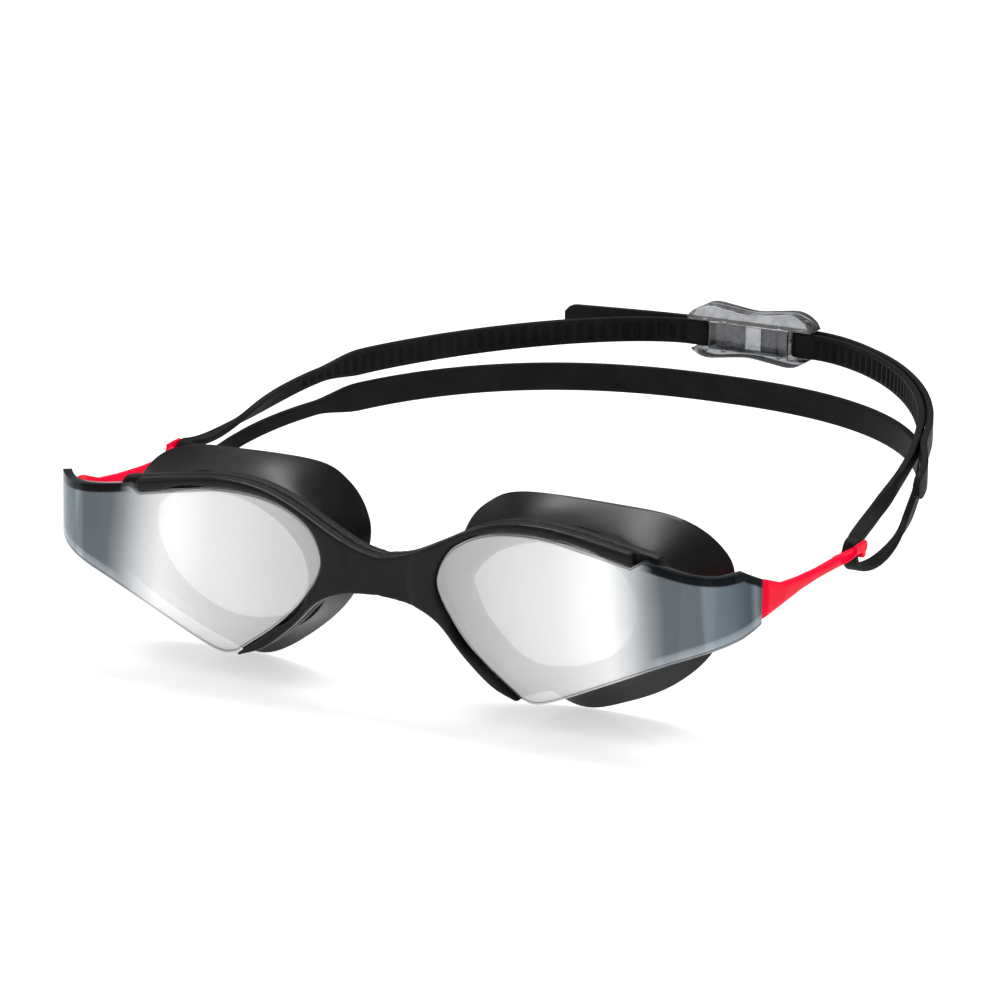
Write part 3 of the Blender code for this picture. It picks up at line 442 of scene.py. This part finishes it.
def mirror_with_painted_reflection():
    """Silver mirror coating on smoked polycarbonate: bright and sharp before the eye, blue grey on the wing, with
    painted reflection.
    """
    made, tree, shader = finish_of("silver_mirror_painted_reflection")
    along = add(tree, "Attribute", {"attribute_name": "along"}).outputs["Fac"]
    top = add(tree, "Attribute", {"attribute_name": "from_top"}).outputs["Fac"]
    bottom = add(tree, "Attribute", {"attribute_name": "from_bottom"}).outputs["Fac"]
    place = add(tree, "TexCoord").outputs["Object"]
    haze = add(tree, "TexNoise", Vector=place, Scale=1 / (14 * MM), Detail=1.0).outputs["Fac"]
    lean = add(tree, "Math", {"operation": "MULTIPLY_ADD"}, _0=bottom, _1=0.12, _2=along).outputs["Value"]
    wander = add(tree, "Math", {"operation": "MULTIPLY_ADD"}, _0=haze, _1=1.2, _2=lean).outputs["Value"]
    share = add(tree, "MapRange", Value=wander, From_Min=0.0, From_Max=100.0).outputs["Result"]
    # Tint along the lens plus painted reflection: bright band before the eye, soft edge onto the wing, wing
    # stripes.
    tint_and_painted_reflection = ramp(tree, share, (
        (0.14, "#AEAEAE"), (0.30, "#C2C2C2"), (0.45, "#D6D6D6"), (0.56, "#F0F0F0"), (0.61, "#C6C8CA"),
        (0.655, "#83888B"), (0.685, "#5C6266"), (0.765, "#575E62"), (0.775, "#6A757C"), (0.83, "#5A656D"),
        (0.87, "#434B52"), (0.885, "#6C757B"), (0.90, "#3A4046"),
    ))
    # Painted shade on the wing: a dark band from 0.3 to 1.7 mm under its top edge, multiplied on.
    dark = ramp(tree, add(tree, "MapRange", Value=top, From_Min=0.0, From_Max=10.0).outputs["Result"], (
        (0.0, "#A6ABAE"), (0.03, "#34383C"), (0.17, "#34383C"), (0.21, "#FFFFFF"),
    ))
    # Painted highlight on the wing: a light band up to about 2.5 mm above its lower edge, screened on at 0.35.
    light = ramp(tree, add(tree, "MapRange", Value=bottom, From_Min=0.0, From_Max=10.0).outputs["Result"], (
        (0.0, "#202428"), (0.035, "#CFD4D8"), (0.08, "#BFC4C8"), (0.20, "#9AA1A7"), (0.26, "#000000"),
    ))
    on_wing = add(tree, "MapRange", Value=share, From_Min=0.64, From_Max=0.67).outputs["Result"]
    with_painted_top_shade = add(
        tree, "Mix", {"data_type": "RGBA", "blend_type": "MULTIPLY"}, Factor=on_wing, _6=tint_and_painted_reflection, _7=dark
    ).outputs[2]
    with_painted_edge_highlight = add(
        tree, "Mix", {"data_type": "RGBA", "blend_type": "SCREEN"}, Factor=add(
            tree, "Math", {"operation": "MULTIPLY"}, _0=on_wing, _1=0.35
        ).outputs["Value"], _6=with_painted_top_shade, _7=light
    ).outputs[2]
    # Painted bevel shadow: a dark line 0.4 to 0.54 mm inside the top and bottom edges, multiplied on at 0.8.
    nearest_edge = add(tree, "Math", {"operation": "MINIMUM"}, _0=top, _1=bottom).outputs["Value"]
    line = ramp(tree, add(tree, "MapRange", Value=nearest_edge, From_Min=0.0, From_Max=2.0).outputs["Result"], (
        (0.0, "#F4F4F4"), (0.16, "#F4F4F4"), (0.20, "#5A5E61"), (0.27, "#5A5E61"), (0.33, "#FFFFFF"),
    ))
    with_painted_bevel_shadow = add(
        tree, "Mix", {"data_type": "RGBA", "blend_type": "MULTIPLY"}, Factor=0.8, _6=with_painted_edge_highlight, _7=line
    ).outputs[2]
    tree.links.new(with_painted_bevel_shadow, shader.inputs["Base Color"])
    solid = add(tree, "MapRange", Value=share, From_Min=0.56, From_Max=0.68, To_Min=0.66, To_Max=0.93)
    tree.links.new(solid.outputs["Result"], shader.inputs["Alpha"])
    fine = add(tree, "MapRange", Value=haze, To_Min=0.04, To_Max=0.09).outputs["Result"]
    tree.links.new(fine, shader.inputs["Roughness"])
    shader.inputs["Metallic"].default_value = 0.9
    return made


lip_edge = np.vstack([low_edge[low_edge[:, 0] < LIP_ENDS[0]], high_edge[high_edge[:, 0] < LIP_ENDS[1]]])
moulded = moulded_frame(lip_edge, EYE)
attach(moulded, "goggles")
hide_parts("frame")

lens_finish = mirror_with_painted_reflection()
for side_name, side in SIDES:
    grid, facts = lens_surface(side)
    lens = skin(f"mirror_lens_{side_name}", grid, close_across=False, attributes=facts, material=lens_finish)
    # The front face looks forwards, so the wall grows backwards from it.
    lens.data.update()
    if lens.data.polygons[len(lens.data.polygons) // 3].normal.y > 0:
        lens.data.flip_normals()
    wall = lens.modifiers.new("wall", "SOLIDIFY")
    wall.thickness = LENS_THICKNESS * MM
    wall.offset = -1
    soft_edge = lens.modifiers.new("soft_edge", "BEVEL")
    soft_edge.width = LENS_EDGE_ROUND * MM
    soft_edge.segments = 2
    soft_edge.limit_method = "ANGLE"
    soft_edge.angle_limit = math.radians(50)
    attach(lens, "goggles")
    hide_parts(f"lens_{side_name}")

# ---- Eye seals ------------------------------------------------------------------------------------------
# Each seal is a soft black silicone trumpet, moulded on to a hard ring and flared to a rounded rim that
# meets the face. Its outside is polished smooth and its foot has a small bead.

EYE_HALF = (21.0, 14.0)
EYE_TILT = math.radians(10)
SEAL_ROOT_Y = 1.2
SEAL_ROOT_OUT, SEAL_ROOT_IN = 2.6, 0.4
SEAL_RIM_WALL, SEAL_RIM_DEPTH = 1.3, 1.0
SEAL_RIM_Y, SEAL_RIM_RAKE = 10.0, 0.1
SEAL_FLARE = 1.7
SEAL_BEAD, SEAL_BEAD_SHARE = 0.35, 0.05
SEAL_RIM_SWELL = 0.55
SEAL_RIM = (
    (72.4, 3), (69, 10.2), (60, 15.1), (45.8, 16.6), (25, 17), (16.8, 13.7), (12.2, 8), (11.2, 1),
    (15.4, -11.6), (25.9, -22), (38.4, -28.9), (50, -26.4), (61, -20.6), (69, -11.5),
)


def eye_oval(grow, points=144):
    """Tilted ellipse about the eye's middle, with both half axes grown alike."""
    around = np.arange(points) * 2 * math.pi / points
    along, across = (EYE_HALF[0] + grow) * np.cos(around), (EYE_HALF[1] + grow) * np.sin(around)
    x = EYE[0] + along * math.cos(EYE_TILT) - across * math.sin(EYE_TILT)
    z = EYE[1] + along * math.sin(EYE_TILT) + across * math.cos(EYE_TILT)
    return np.column_stack([x, z])


def outline_seen_from(middle, outline, around):
    """The outline's points in the directions of the given points about a middle: radius read off its angle."""
    dense = outline - middle
    angle = np.unwrap(np.arctan2(dense[:, 1], dense[:, 0]))
    radius = np.tile(np.hypot(dense[:, 0], dense[:, 1]), 3)
    angle = np.concatenate([angle - 2 * math.pi, angle, angle + 2 * math.pi])
    order = np.argsort(angle)
    wanted = np.arctan2(around[:, 1] - middle[1], around[:, 0] - middle[0])
    found = np.interp(wanted, angle[order], radius[order])
    return np.array(middle) + found[:, None] * np.column_stack([np.cos(wanted), np.sin(wanted)])


def seal_surface(side):
    """Outer skin, rounded rim and inner skin as one ring of profiles.

    At share t of the way back an outline is root (1 - t^flare) + rim t^flare, with a foot bead of
    exp(-((t - w) / w)^2).
    The rim is half a circle from the outer skin to the inner one.
    """
    middle = np.array(EYE)
    root_out, root_in = eye_oval(SEAL_ROOT_OUT), eye_oval(SEAL_ROOT_IN)
    rim = outline_seen_from(middle, smooth_run(SEAL_RIM, 24, closed=True), root_out)
    inward = (middle - rim) / np.linalg.norm(middle - rim, axis=1)[:, None]
    rim_y = SEAL_RIM_Y + SEAL_RIM_RAKE * rim[:, 0]
    inner_rim = rim + inward * SEAL_RIM_WALL
    loops = []
    for t in np.linspace(0, 1, 22):
        bead = SEAL_BEAD * math.exp(-(((t - SEAL_BEAD_SHARE) / SEAL_BEAD_SHARE) ** 2))
        flat = root_out * (1 - t**SEAL_FLARE) + rim * t**SEAL_FLARE - inward * bead
        loops.append(np.column_stack([flat[:, 0], SEAL_ROOT_Y + (rim_y - SEAL_ROOT_Y) * t, flat[:, 1]]))
    for bend in np.linspace(0, math.pi, 9)[1:-1]:
        share = (1 - math.cos(bend)) / 2
        flat = rim * (1 - share) + inner_rim * share
        y = rim_y + SEAL_RIM_DEPTH * share + SEAL_RIM_SWELL * math.sin(bend)
        loops.append(np.column_stack([flat[:, 0], y, flat[:, 1]]))
    for t in np.linspace(1, 0, 16):
        flat = root_in * (1 - t**SEAL_FLARE) + inner_rim * t**SEAL_FLARE
        y = SEAL_ROOT_Y + (rim_y - SEAL_ROOT_Y + SEAL_RIM_DEPTH) * t
        loops.append(np.column_stack([flat[:, 0], y, flat[:, 1]]))
    return np.stack(loops) * (side, 1, 1)


def silicone(name, dark, light, roughness, gloss):
    """Moulded silicone rubber: soft satin, faintly mottled where talc and fingers have dulled it."""
    made, tree, shader = finish_of(name)
    place = add(tree, "TexCoord").outputs["Object"]
    mottle = add(tree, "TexNoise", Vector=place, Scale=1 / (7 * MM), Detail=4.0, Roughness=0.6).outputs["Fac"]
    skin_grain = add(tree, "TexNoise", Vector=place, Scale=1 / (0.5 * MM), Detail=2.0).outputs["Fac"]
    rough = add(
        tree, "MapRange", Value=mottle, From_Min=0.3, From_Max=0.7, To_Min=roughness[0], To_Max=roughness[1]
    ).outputs["Result"]
    lumps = add(tree, "Bump", Height=skin_grain, Strength=0.15, Distance=0.02 * MM)
    tree.links.new(ramp(tree, mottle, ((0.35, dark), (0.65, light))), shader.inputs["Base Color"])
    tree.links.new(rough, shader.inputs["Roughness"])
    tree.links.new(lumps.outputs["Normal"], shader.inputs["Normal"])
    shader.inputs["IOR"].default_value = 1.41
    shader.inputs["Specular IOR Level"].default_value = gloss
    return made


seal_finish = silicone("soft_seal_silicone", "#101011", "#171618", (0.32, 0.40), 0.34)
for side_name, side in SIDES:
    seal = skin(f"soft_eye_seal_{side_name}", seal_surface(side), close_along=True, material=seal_finish)
    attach(seal, "goggles")
    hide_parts(f"eye_seal_{side_name}")

# ---- Strap clips ----------------------------------------------------------------------------------------
# A bright red nylon clip is bonded behind each lens wing. Its arm tapers back to a small eyelet whose
# round bar carries the strap. A strong pigment and little surface gloss keep the red deep.

CLIP_RED = "#E8002E"
CLIP_VOXEL, CLIP_PASSES = 0.22, 5


def red_nylon():
    """Pigmented nylon from a polished mould: saturated red, slightly deeper in patches, with a faint ripple."""
    made, tree, shader = finish_of("polished_red_nylon")
    place = add(tree, "TexCoord").outputs["Object"]
    patch = add(tree, "TexNoise", Vector=place, Scale=1 / (5 * MM), Detail=2.0).outputs["Fac"]
    ripple = add(tree, "TexNoise", Vector=place, Scale=1 / (0.8 * MM), Detail=1.0).outputs["Fac"]
    lumps = add(tree, "Bump", Height=ripple, Strength=0.12, Distance=0.02 * MM)
    tree.links.new(ramp(tree, patch, ((0.3, "#DC0028"), (0.7, CLIP_RED))), shader.inputs["Base Color"])
    tree.links.new(lumps.outputs["Normal"], shader.inputs["Normal"])
    rough = add(tree, "MapRange", Value=patch, To_Min=0.28, To_Max=0.40).outputs["Result"]
    tree.links.new(rough, shader.inputs["Roughness"])
    shader.inputs["IOR"].default_value = 1.53
    shader.inputs["Specular IOR Level"].default_value = 0.03
    return made


clip_finish = red_nylon()
for side_name, side in SIDES:
    remoulded(
        f"red_clip_{side_name}", f"strap_clip_{side_name}", "goggles", clip_finish, CLIP_VOXEL, CLIP_PASSES
    )

# ---- Strap ----------------------------------------------------------------------------------------------
# The strap is one band of black silicone, 1.6 mm thick. It is narrow where it turns round each clip's bar
# and spreads to two bands round the back of the head; the upper one is ribbed inside to grip the clasp.

STRAP_THICKNESS = 1.6
STRAP_CORNER = 0.4
NECK_WIDTH, LOWER_WIDTH, UPPER_WIDTH = 3.4, 6.8, 6.2
EYELET = (83.0, 56.3, 1.4)
EYELET_BAR_RADIUS, EYELET_GAP = 1.1, 0.4
TURN_RADIUS = EYELET_BAR_RADIUS + EYELET_GAP + STRAP_THICKNESS / 2
TURN_SWEEP = math.radians(48)  # from the bar's top to where the lower band takes over
WRAP_END = math.radians(262)
LOWER_LOOP, LOWER_Z = (79.4, 72.0, 96.9, 2.34), (1.6, 3.1)
UPPER_LOOP, UPPER_Z = (60.4, 91.3, 95.8, 1.6), (10.9, 11.7)
CLASP_HALF_LENGTH = 17.0
FOLD_BAR = (13.0, 0.9, 0.3)  # distance from the clasp's middle, radius, gap to the strap
RIB_PITCH, RIB_DEPTH, RIB_WIDTH, RIB_SLOPE = 3.0, 0.6, 1.2, 0.35
RIB_START, RIB_END_X, RIB_FADE = 40, 12, 2
WIDEN_START, WIDEN_LENGTH = 49.0, 14.0
TWIST_START, TWIST_LENGTH = 3.0, 36.0
HEAD_PITCH, TAIL_PITCH = 0.375, 1.0
SQUARE_LENGTH, SQUARE_END = 3.0, (0, 0.99, -0.14)
LONG_TAIL_TIP, LONG_TAIL_FREE_Y, LONG_TAIL_LEAD = (83.4, 90.0, 7.4), 112.0, 16.0
TAIL_LIFT = 0.4  # mm of air between the long tail and the strap under it
SHORT_TAIL = (38.0, -3.2, -0.4)
TIP_LENGTH, TIP_ROUND = 3, 3.4


def eased(value):
    """Smooth step from 0 to 1: v^2 (3 - 2v), held at both ends."""
    value = np.clip(value, 0, 1)
    return value * value * (3 - 2 * value)


def unit(vectors):
    """Each vector over its length."""
    return vectors / np.linalg.norm(vectors, axis=-1, keepdims=True)


def directions(points):
    """Unit tangent at each point of a path, from its two neighbours."""
    return unit(np.gradient(points, axis=0))


def bezier(p0, p1, p2, p3, count):
    """Cubic Bezier points from p0 up to but without p3."""
    t = np.linspace(0, 1, count, endpoint=False)[:, None]
    p0, p1, p2, p3 = (np.array(p, float) for p in (p0, p1, p2, p3))
    return (1 - t) ** 3 * p0 + 3 * t * (1 - t) ** 2 * p1 + 3 * t**2 * (1 - t) * p2 + t**3 * p3


def evenly(points, pitch):
    """Path resampled at an even spacing near the pitch, with both ends kept."""
    points = np.array(points, float)
    run = np.concatenate([[0], np.cumsum(np.linalg.norm(np.diff(points, axis=0), axis=1))])
    wanted = np.linspace(0, run[-1], max(int(round(run[-1] / pitch)), 2) + 1)
    return np.column_stack([np.interp(wanted, run, points[:, i]) for i in range(3)])


def back_loop(loop, heights, straight=0.0):
    """Half loop round the head: a superellipse quarter beyond a straight middle, rising evenly to the back."""
    width, start, depth, power = loop
    turns = np.linspace(0.43, math.pi / 2, 120)
    x = straight + width * np.abs(np.cos(turns)) ** (2 / power)
    y = start + depth * np.abs(np.sin(turns)) ** (2 / power)
    return np.column_stack([x, y, heights[0] + (heights[1] - heights[0]) * (y - start) / depth])


def led_in(start, handle, back, reach, count):
    """Curve that leaves a point along a handle and joins the first stretch of a back loop smoothly."""
    along = unit(back[1] - back[0])
    return bezier(start, np.array(start) + handle, back[0] - along * reach, back[0], count)


def strap_width(run, full):
    """Width at a distance behind the eyelet: the neck's, growing to the full band's over WIDEN_LENGTH."""
    return NECK_WIDTH + (full - NECK_WIDTH) * eased((run - WIDEN_START) / WIDEN_LENGTH)


def strap_section(face_points=11, corner_points=4):
    """Rounded bar as (share across, corner part across, corner part out, side of the face) for unit scaling."""
    share, across, out, face = [], [], [], []
    for side_across, side_out, start in ((1, 1, 0), (-1, 1, 1), (-1, -1, 2), (1, -1, 3)):
        turns = (start + np.linspace(0, 1, corner_points)) * math.pi / 2
        share.append(np.full(corner_points, side_across))
        across.append(np.cos(turns))
        out.append(np.sin(turns))
        face.append(np.full(corner_points, side_out))
        if start in (0, 2):
            between = np.linspace(side_across, -side_across, face_points + 2)[1:-1]
            share.append(between)
            across.append(np.zeros(face_points))
            out.append(np.full(face_points, side_out))
            face.append(np.full(face_points, side_out))
    return (np.concatenate(each) for each in (share, across, out, face))


def strap_skin(points, tangents, normal, widths, ribs=None):
    """Rounded bar carried along a path.

    A point is path + across (share (w/2 - r) + r cos) + normal (side (t/2 - r) + r sin). Ribs are left standing on
    the inner face: between them it is cut in by RIB_DEPTH, with a plain margin near both edges.
    """
    share, corner_across, corner_out, face = strap_section()
    across = np.cross(tangents, normal)
    half = np.asarray(widths, float)[:, None] / 2
    wide = share * (half - STRAP_CORNER) + corner_across * STRAP_CORNER
    thick = np.broadcast_to(
        face * (STRAP_THICKNESS / 2 - STRAP_CORNER) + corner_out * STRAP_CORNER, wide.shape
    ).copy()
    if ribs is not None:
        margin = eased((half - 0.7 - np.abs(wide)) / 0.5)
        thick += np.where(corner_out == -1, 1.0, 0.0) * ribs[:, None] * margin * RIB_DEPTH
    return points[:, None, :] + wide[..., None] * across[:, None, :] + thick[..., None] * normal[:, None, :]


def head_normals(points, tangents, twist):
    """Normals that turn from up, where the band lies flat, to outwards, where it stands round the head."""
    out = unit(np.cross(tangents, (0, 0, 1)))
    flat = np.cross(out, tangents)
    return np.cos(twist[:, None] * math.pi / 2) * flat + np.sin(twist[:, None] * math.pi / 2) * out


def neck_twist(points):
    """Share of the quarter turn made so far: 0 flat on the bar, 1 standing round the head."""
    return eased((points[:, 1] - EYELET[1] - TWIST_START) / TWIST_LENGTH)


def wrap_arc(first, last, count):
    """The band's middle line round the eyelet bar, flat on it, drooping as it leaves below."""
    turns = np.linspace(first, last, count)
    droop = eased((turns - math.pi) / (math.pi / 2)) * 1.4
    return np.column_stack([
        np.full_like(turns, EYELET[0]),
        EYELET[1] + (TURN_RADIUS + droop) * np.cos(turns) + droop,
        EYELET[2] + (TURN_RADIUS + droop) * np.sin(turns),
    ])


def lower_band():
    """Whole lower strap from one eyelet to the other, as the mirror image of its left half."""
    arc = wrap_arc(math.pi / 2 + TURN_SWEEP, WRAP_END, 24)
    back = back_loop(LOWER_LOOP, LOWER_Z)
    neck = led_in(arc[-1], (0.8, 12, -4), back, 44.0, 40)
    half = np.vstack([arc[:-1], evenly(np.vstack([neck, back]), 1.5)])
    on_turn = np.arange(len(half)) < len(arc)
    twist = np.where(on_turn, 0, neck_twist(half))
    widths = np.where(on_turn, NECK_WIDTH, strap_width(half[:, 1] - EYELET[1], LOWER_WIDTH))
    tangents = directions(half)
    flat = unit(np.cross(tangents, (1, 0, 0)))
    out = unit(np.cross(tangents, (0, 0, 1)))
    normal = np.cos(twist[:, None] * math.pi / 2) * flat + np.sin(twist[:, None] * math.pi / 2) * out
    normal = unit(normal - tangents * np.sum(normal * tangents, axis=1)[:, None])
    tangents[-1], normal[-1] = (-1, 0, 0), (0, 1, 0)
    rings = strap_skin(half, tangents, normal, widths)
    return np.concatenate([rings, rings[:-1][::-1] * (-1, 1, 1)])


def upper_path():
    """Upper strap's middle line on the wearer's left, from above the eyelet bar to the clasp's middle."""
    start = (EYELET[0], EYELET[1] + EYELET_GAP, EYELET[2] + TURN_RADIUS)
    back = back_loop(UPPER_LOOP, UPPER_Z, CLASP_HALF_LENGTH)
    return np.vstack([led_in(start, (-4.4, 10.5, -1.6), back, 34.0, 40), back])


STRAP_LINE = UPPER_LOOP[1] + UPPER_LOOP[2]
BAR_Y = STRAP_LINE + STRAP_THICKNESS / 2 + FOLD_BAR[2] + FOLD_BAR[1]


def upper_band(side):
    """Neck, ribbed back run, fold round the clasp bar and free tail: long on the left, short on the right.

    The long tail follows the back run on its outer side, at STRAP_THICKNESS + TAIL_LIFT between middle lines.
    """
    head = evenly(upper_path(), HEAD_PITCH)
    radius = FOLD_BAR[1] + FOLD_BAR[2] + STRAP_THICKNESS / 2
    turns = np.linspace(-math.pi / 2, -3 * math.pi / 2, 18)
    fold = np.column_stack([
        FOLD_BAR[0] + radius * np.cos(turns), BAR_Y + radius * np.sin(turns), np.full_like(turns, UPPER_Z[1])
    ])
    leave = fold[-1]
    if side > 0:
        follow = evenly(upper_path()[::-1], 3.0)
        follow = follow[(follow[:, 1] > LONG_TAIL_FREE_Y) & (follow[:, 0] > CLASP_HALF_LENGTH + LONG_TAIL_LEAD)]
        steps = directions(follow)
        follow = follow + np.cross((0, 0, 1), steps) * (STRAP_THICKNESS + TAIL_LIFT)
        first = bezier(leave, leave + (LONG_TAIL_LEAD / 2, 0, 0), follow[0] - steps[0] * 8, follow[0], 16)
        tip = np.array(LONG_TAIL_TIP)
        last = bezier(follow[-1], follow[-1] + steps[-1] * 9, tip + (-0.4, 10, 1.2), tip, 18)
        tail = np.vstack([first, follow[:-1], last, [tip]])
    else:
        tip = leave + SHORT_TAIL
        tail = np.vstack([bezier(leave, leave + (12, 0, 0), tip + (-10, 0.8, 0.2), tip, 24), [tip]])
    tail = evenly(tail, TAIL_PITCH)
    path = np.vstack([head, fold[1:], tail[1:]])
    on_head = np.arange(len(path)) < len(head)
    twist = np.where(on_head, neck_twist(path), 1.0)
    widths = np.where(on_head, strap_width(path[:, 1] - EYELET[1], UPPER_WIDTH), UPPER_WIDTH)
    to_tip = np.arange(len(path))[::-1] * TAIL_PITCH
    widths = widths * np.where(to_tip < TIP_LENGTH, np.sqrt(1 - ((TIP_LENGTH - to_tip) / TIP_ROUND) ** 2), 1)
    run = np.arange(len(path)) * HEAD_PITCH
    near = np.abs((run + RIB_PITCH / 2) % RIB_PITCH - RIB_PITCH / 2)
    groove = eased((near - RIB_WIDTH / 2) / RIB_SLOPE)
    ribbed = eased((path[:, 1] - EYELET[1] - RIB_START) / RIB_FADE) * on_head
    ribbed = ribbed * eased((path[:, 0] - RIB_END_X) / RIB_FADE)
    tangents = directions(path)
    # The neck's end is cut square to the bar's circle, so that it clears the lower band when the two spread.
    square = np.where(on_head, 1 - eased(run / SQUARE_LENGTH), 0)[:, None]
    tangents = unit(tangents * (1 - square) + np.array(SQUARE_END) * square)
    grid = strap_skin(path, tangents, head_normals(path, tangents, twist), widths, groove * ribbed)
    return grid * (side, 1, 1)


def strap_turn(side):
    """Short stretch that joins the upper neck to the lower band over the bar's top."""
    arc = wrap_arc(math.pi / 2, math.pi / 2 + TURN_SWEEP, 12)
    arc[0, 1] += EYELET_GAP
    tangents = directions(arc)
    normal = unit(np.cross(tangents, (1, 0, 0)))
    grid = strap_skin(arc, tangents, normal, np.full(len(arc), NECK_WIDTH))
    return grid * (side, 1, 1), arc * (side, 1, 1)


strap_finish = silicone("strap_silicone", "#121213", "#191919", (0.50, 0.62), 0.07)
lower = skin("lower_band", lower_band(), material=strap_finish)
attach(lower, "lower_strap")
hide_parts("lower_strap")
for side_name, side in SIDES:
    upper = skin(f"upper_band_{side_name}", upper_band(side), material=strap_finish)
    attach(upper, "upper_strap")
    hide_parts(f"upper_strap_{side_name}")
    grid, line = strap_turn(side)
    joining = skin(f"strap_turn_{side_name}", grid, material=strap_finish)
    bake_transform(joining)

# ---- Clasp ----------------------------------------------------------------------------------------------
# The clasp is smoked clear polycarbonate: a waisted body with a plate on the head side, two round bars for
# the strap and two release levers on stub pivots.

CLASP_VOXEL, CLASP_PASSES = 0.2, 3
LEVER_VOXEL, LEVER_PASSES = 0.16, 5


def smoked_polycarbonate(name, tint, roughness, ripple_depth):
    """Smoked clear polycarbonate: clear enough to show the levers, with flow ripples from moulding."""
    made, tree, shader = finish_of(name)
    place = add(tree, "TexCoord").outputs["Object"]
    flow = add(tree, "TexNoise", Vector=place, Scale=1 / (3 * MM), Detail=3.0, Distortion=1.0).outputs["Fac"]
    lumps = add(tree, "Bump", Height=flow, Strength=ripple_depth, Distance=0.1 * MM)
    rough = add(tree, "MapRange", Value=flow, To_Min=roughness, To_Max=roughness + 0.12).outputs["Result"]
    tree.links.new(ramp(tree, flow, ((0.35, tint[0]), (0.65, tint[1]))), shader.inputs["Base Color"])
    tree.links.new(rough, shader.inputs["Roughness"])
    tree.links.new(lumps.outputs["Normal"], shader.inputs["Normal"])
    shader.inputs["IOR"].default_value = 1.58
    shader.inputs["Transmission Weight"].default_value = 0.97
    return made


clasp_finish = smoked_polycarbonate("smoked_clasp", ("#85878A", "#A0A2A4"), 0.04, 0.08)
lever_finish = smoked_polycarbonate("frosted_lever", ("#4A4C4F", "#8A8C8E"), 0.22, 0.8)
remoulded("clear_clasp", "clasp_body", "upper_strap", clasp_finish, CLASP_VOXEL, CLASP_PASSES)
for side_name, side in SIDES:
    remoulded(
        f"clasp_lever_{side_name}",
        f"release_lever_{side_name}",
        f"lever_{side_name}",
        lever_finish,
        LEVER_VOXEL,
        LEVER_PASSES,
    )
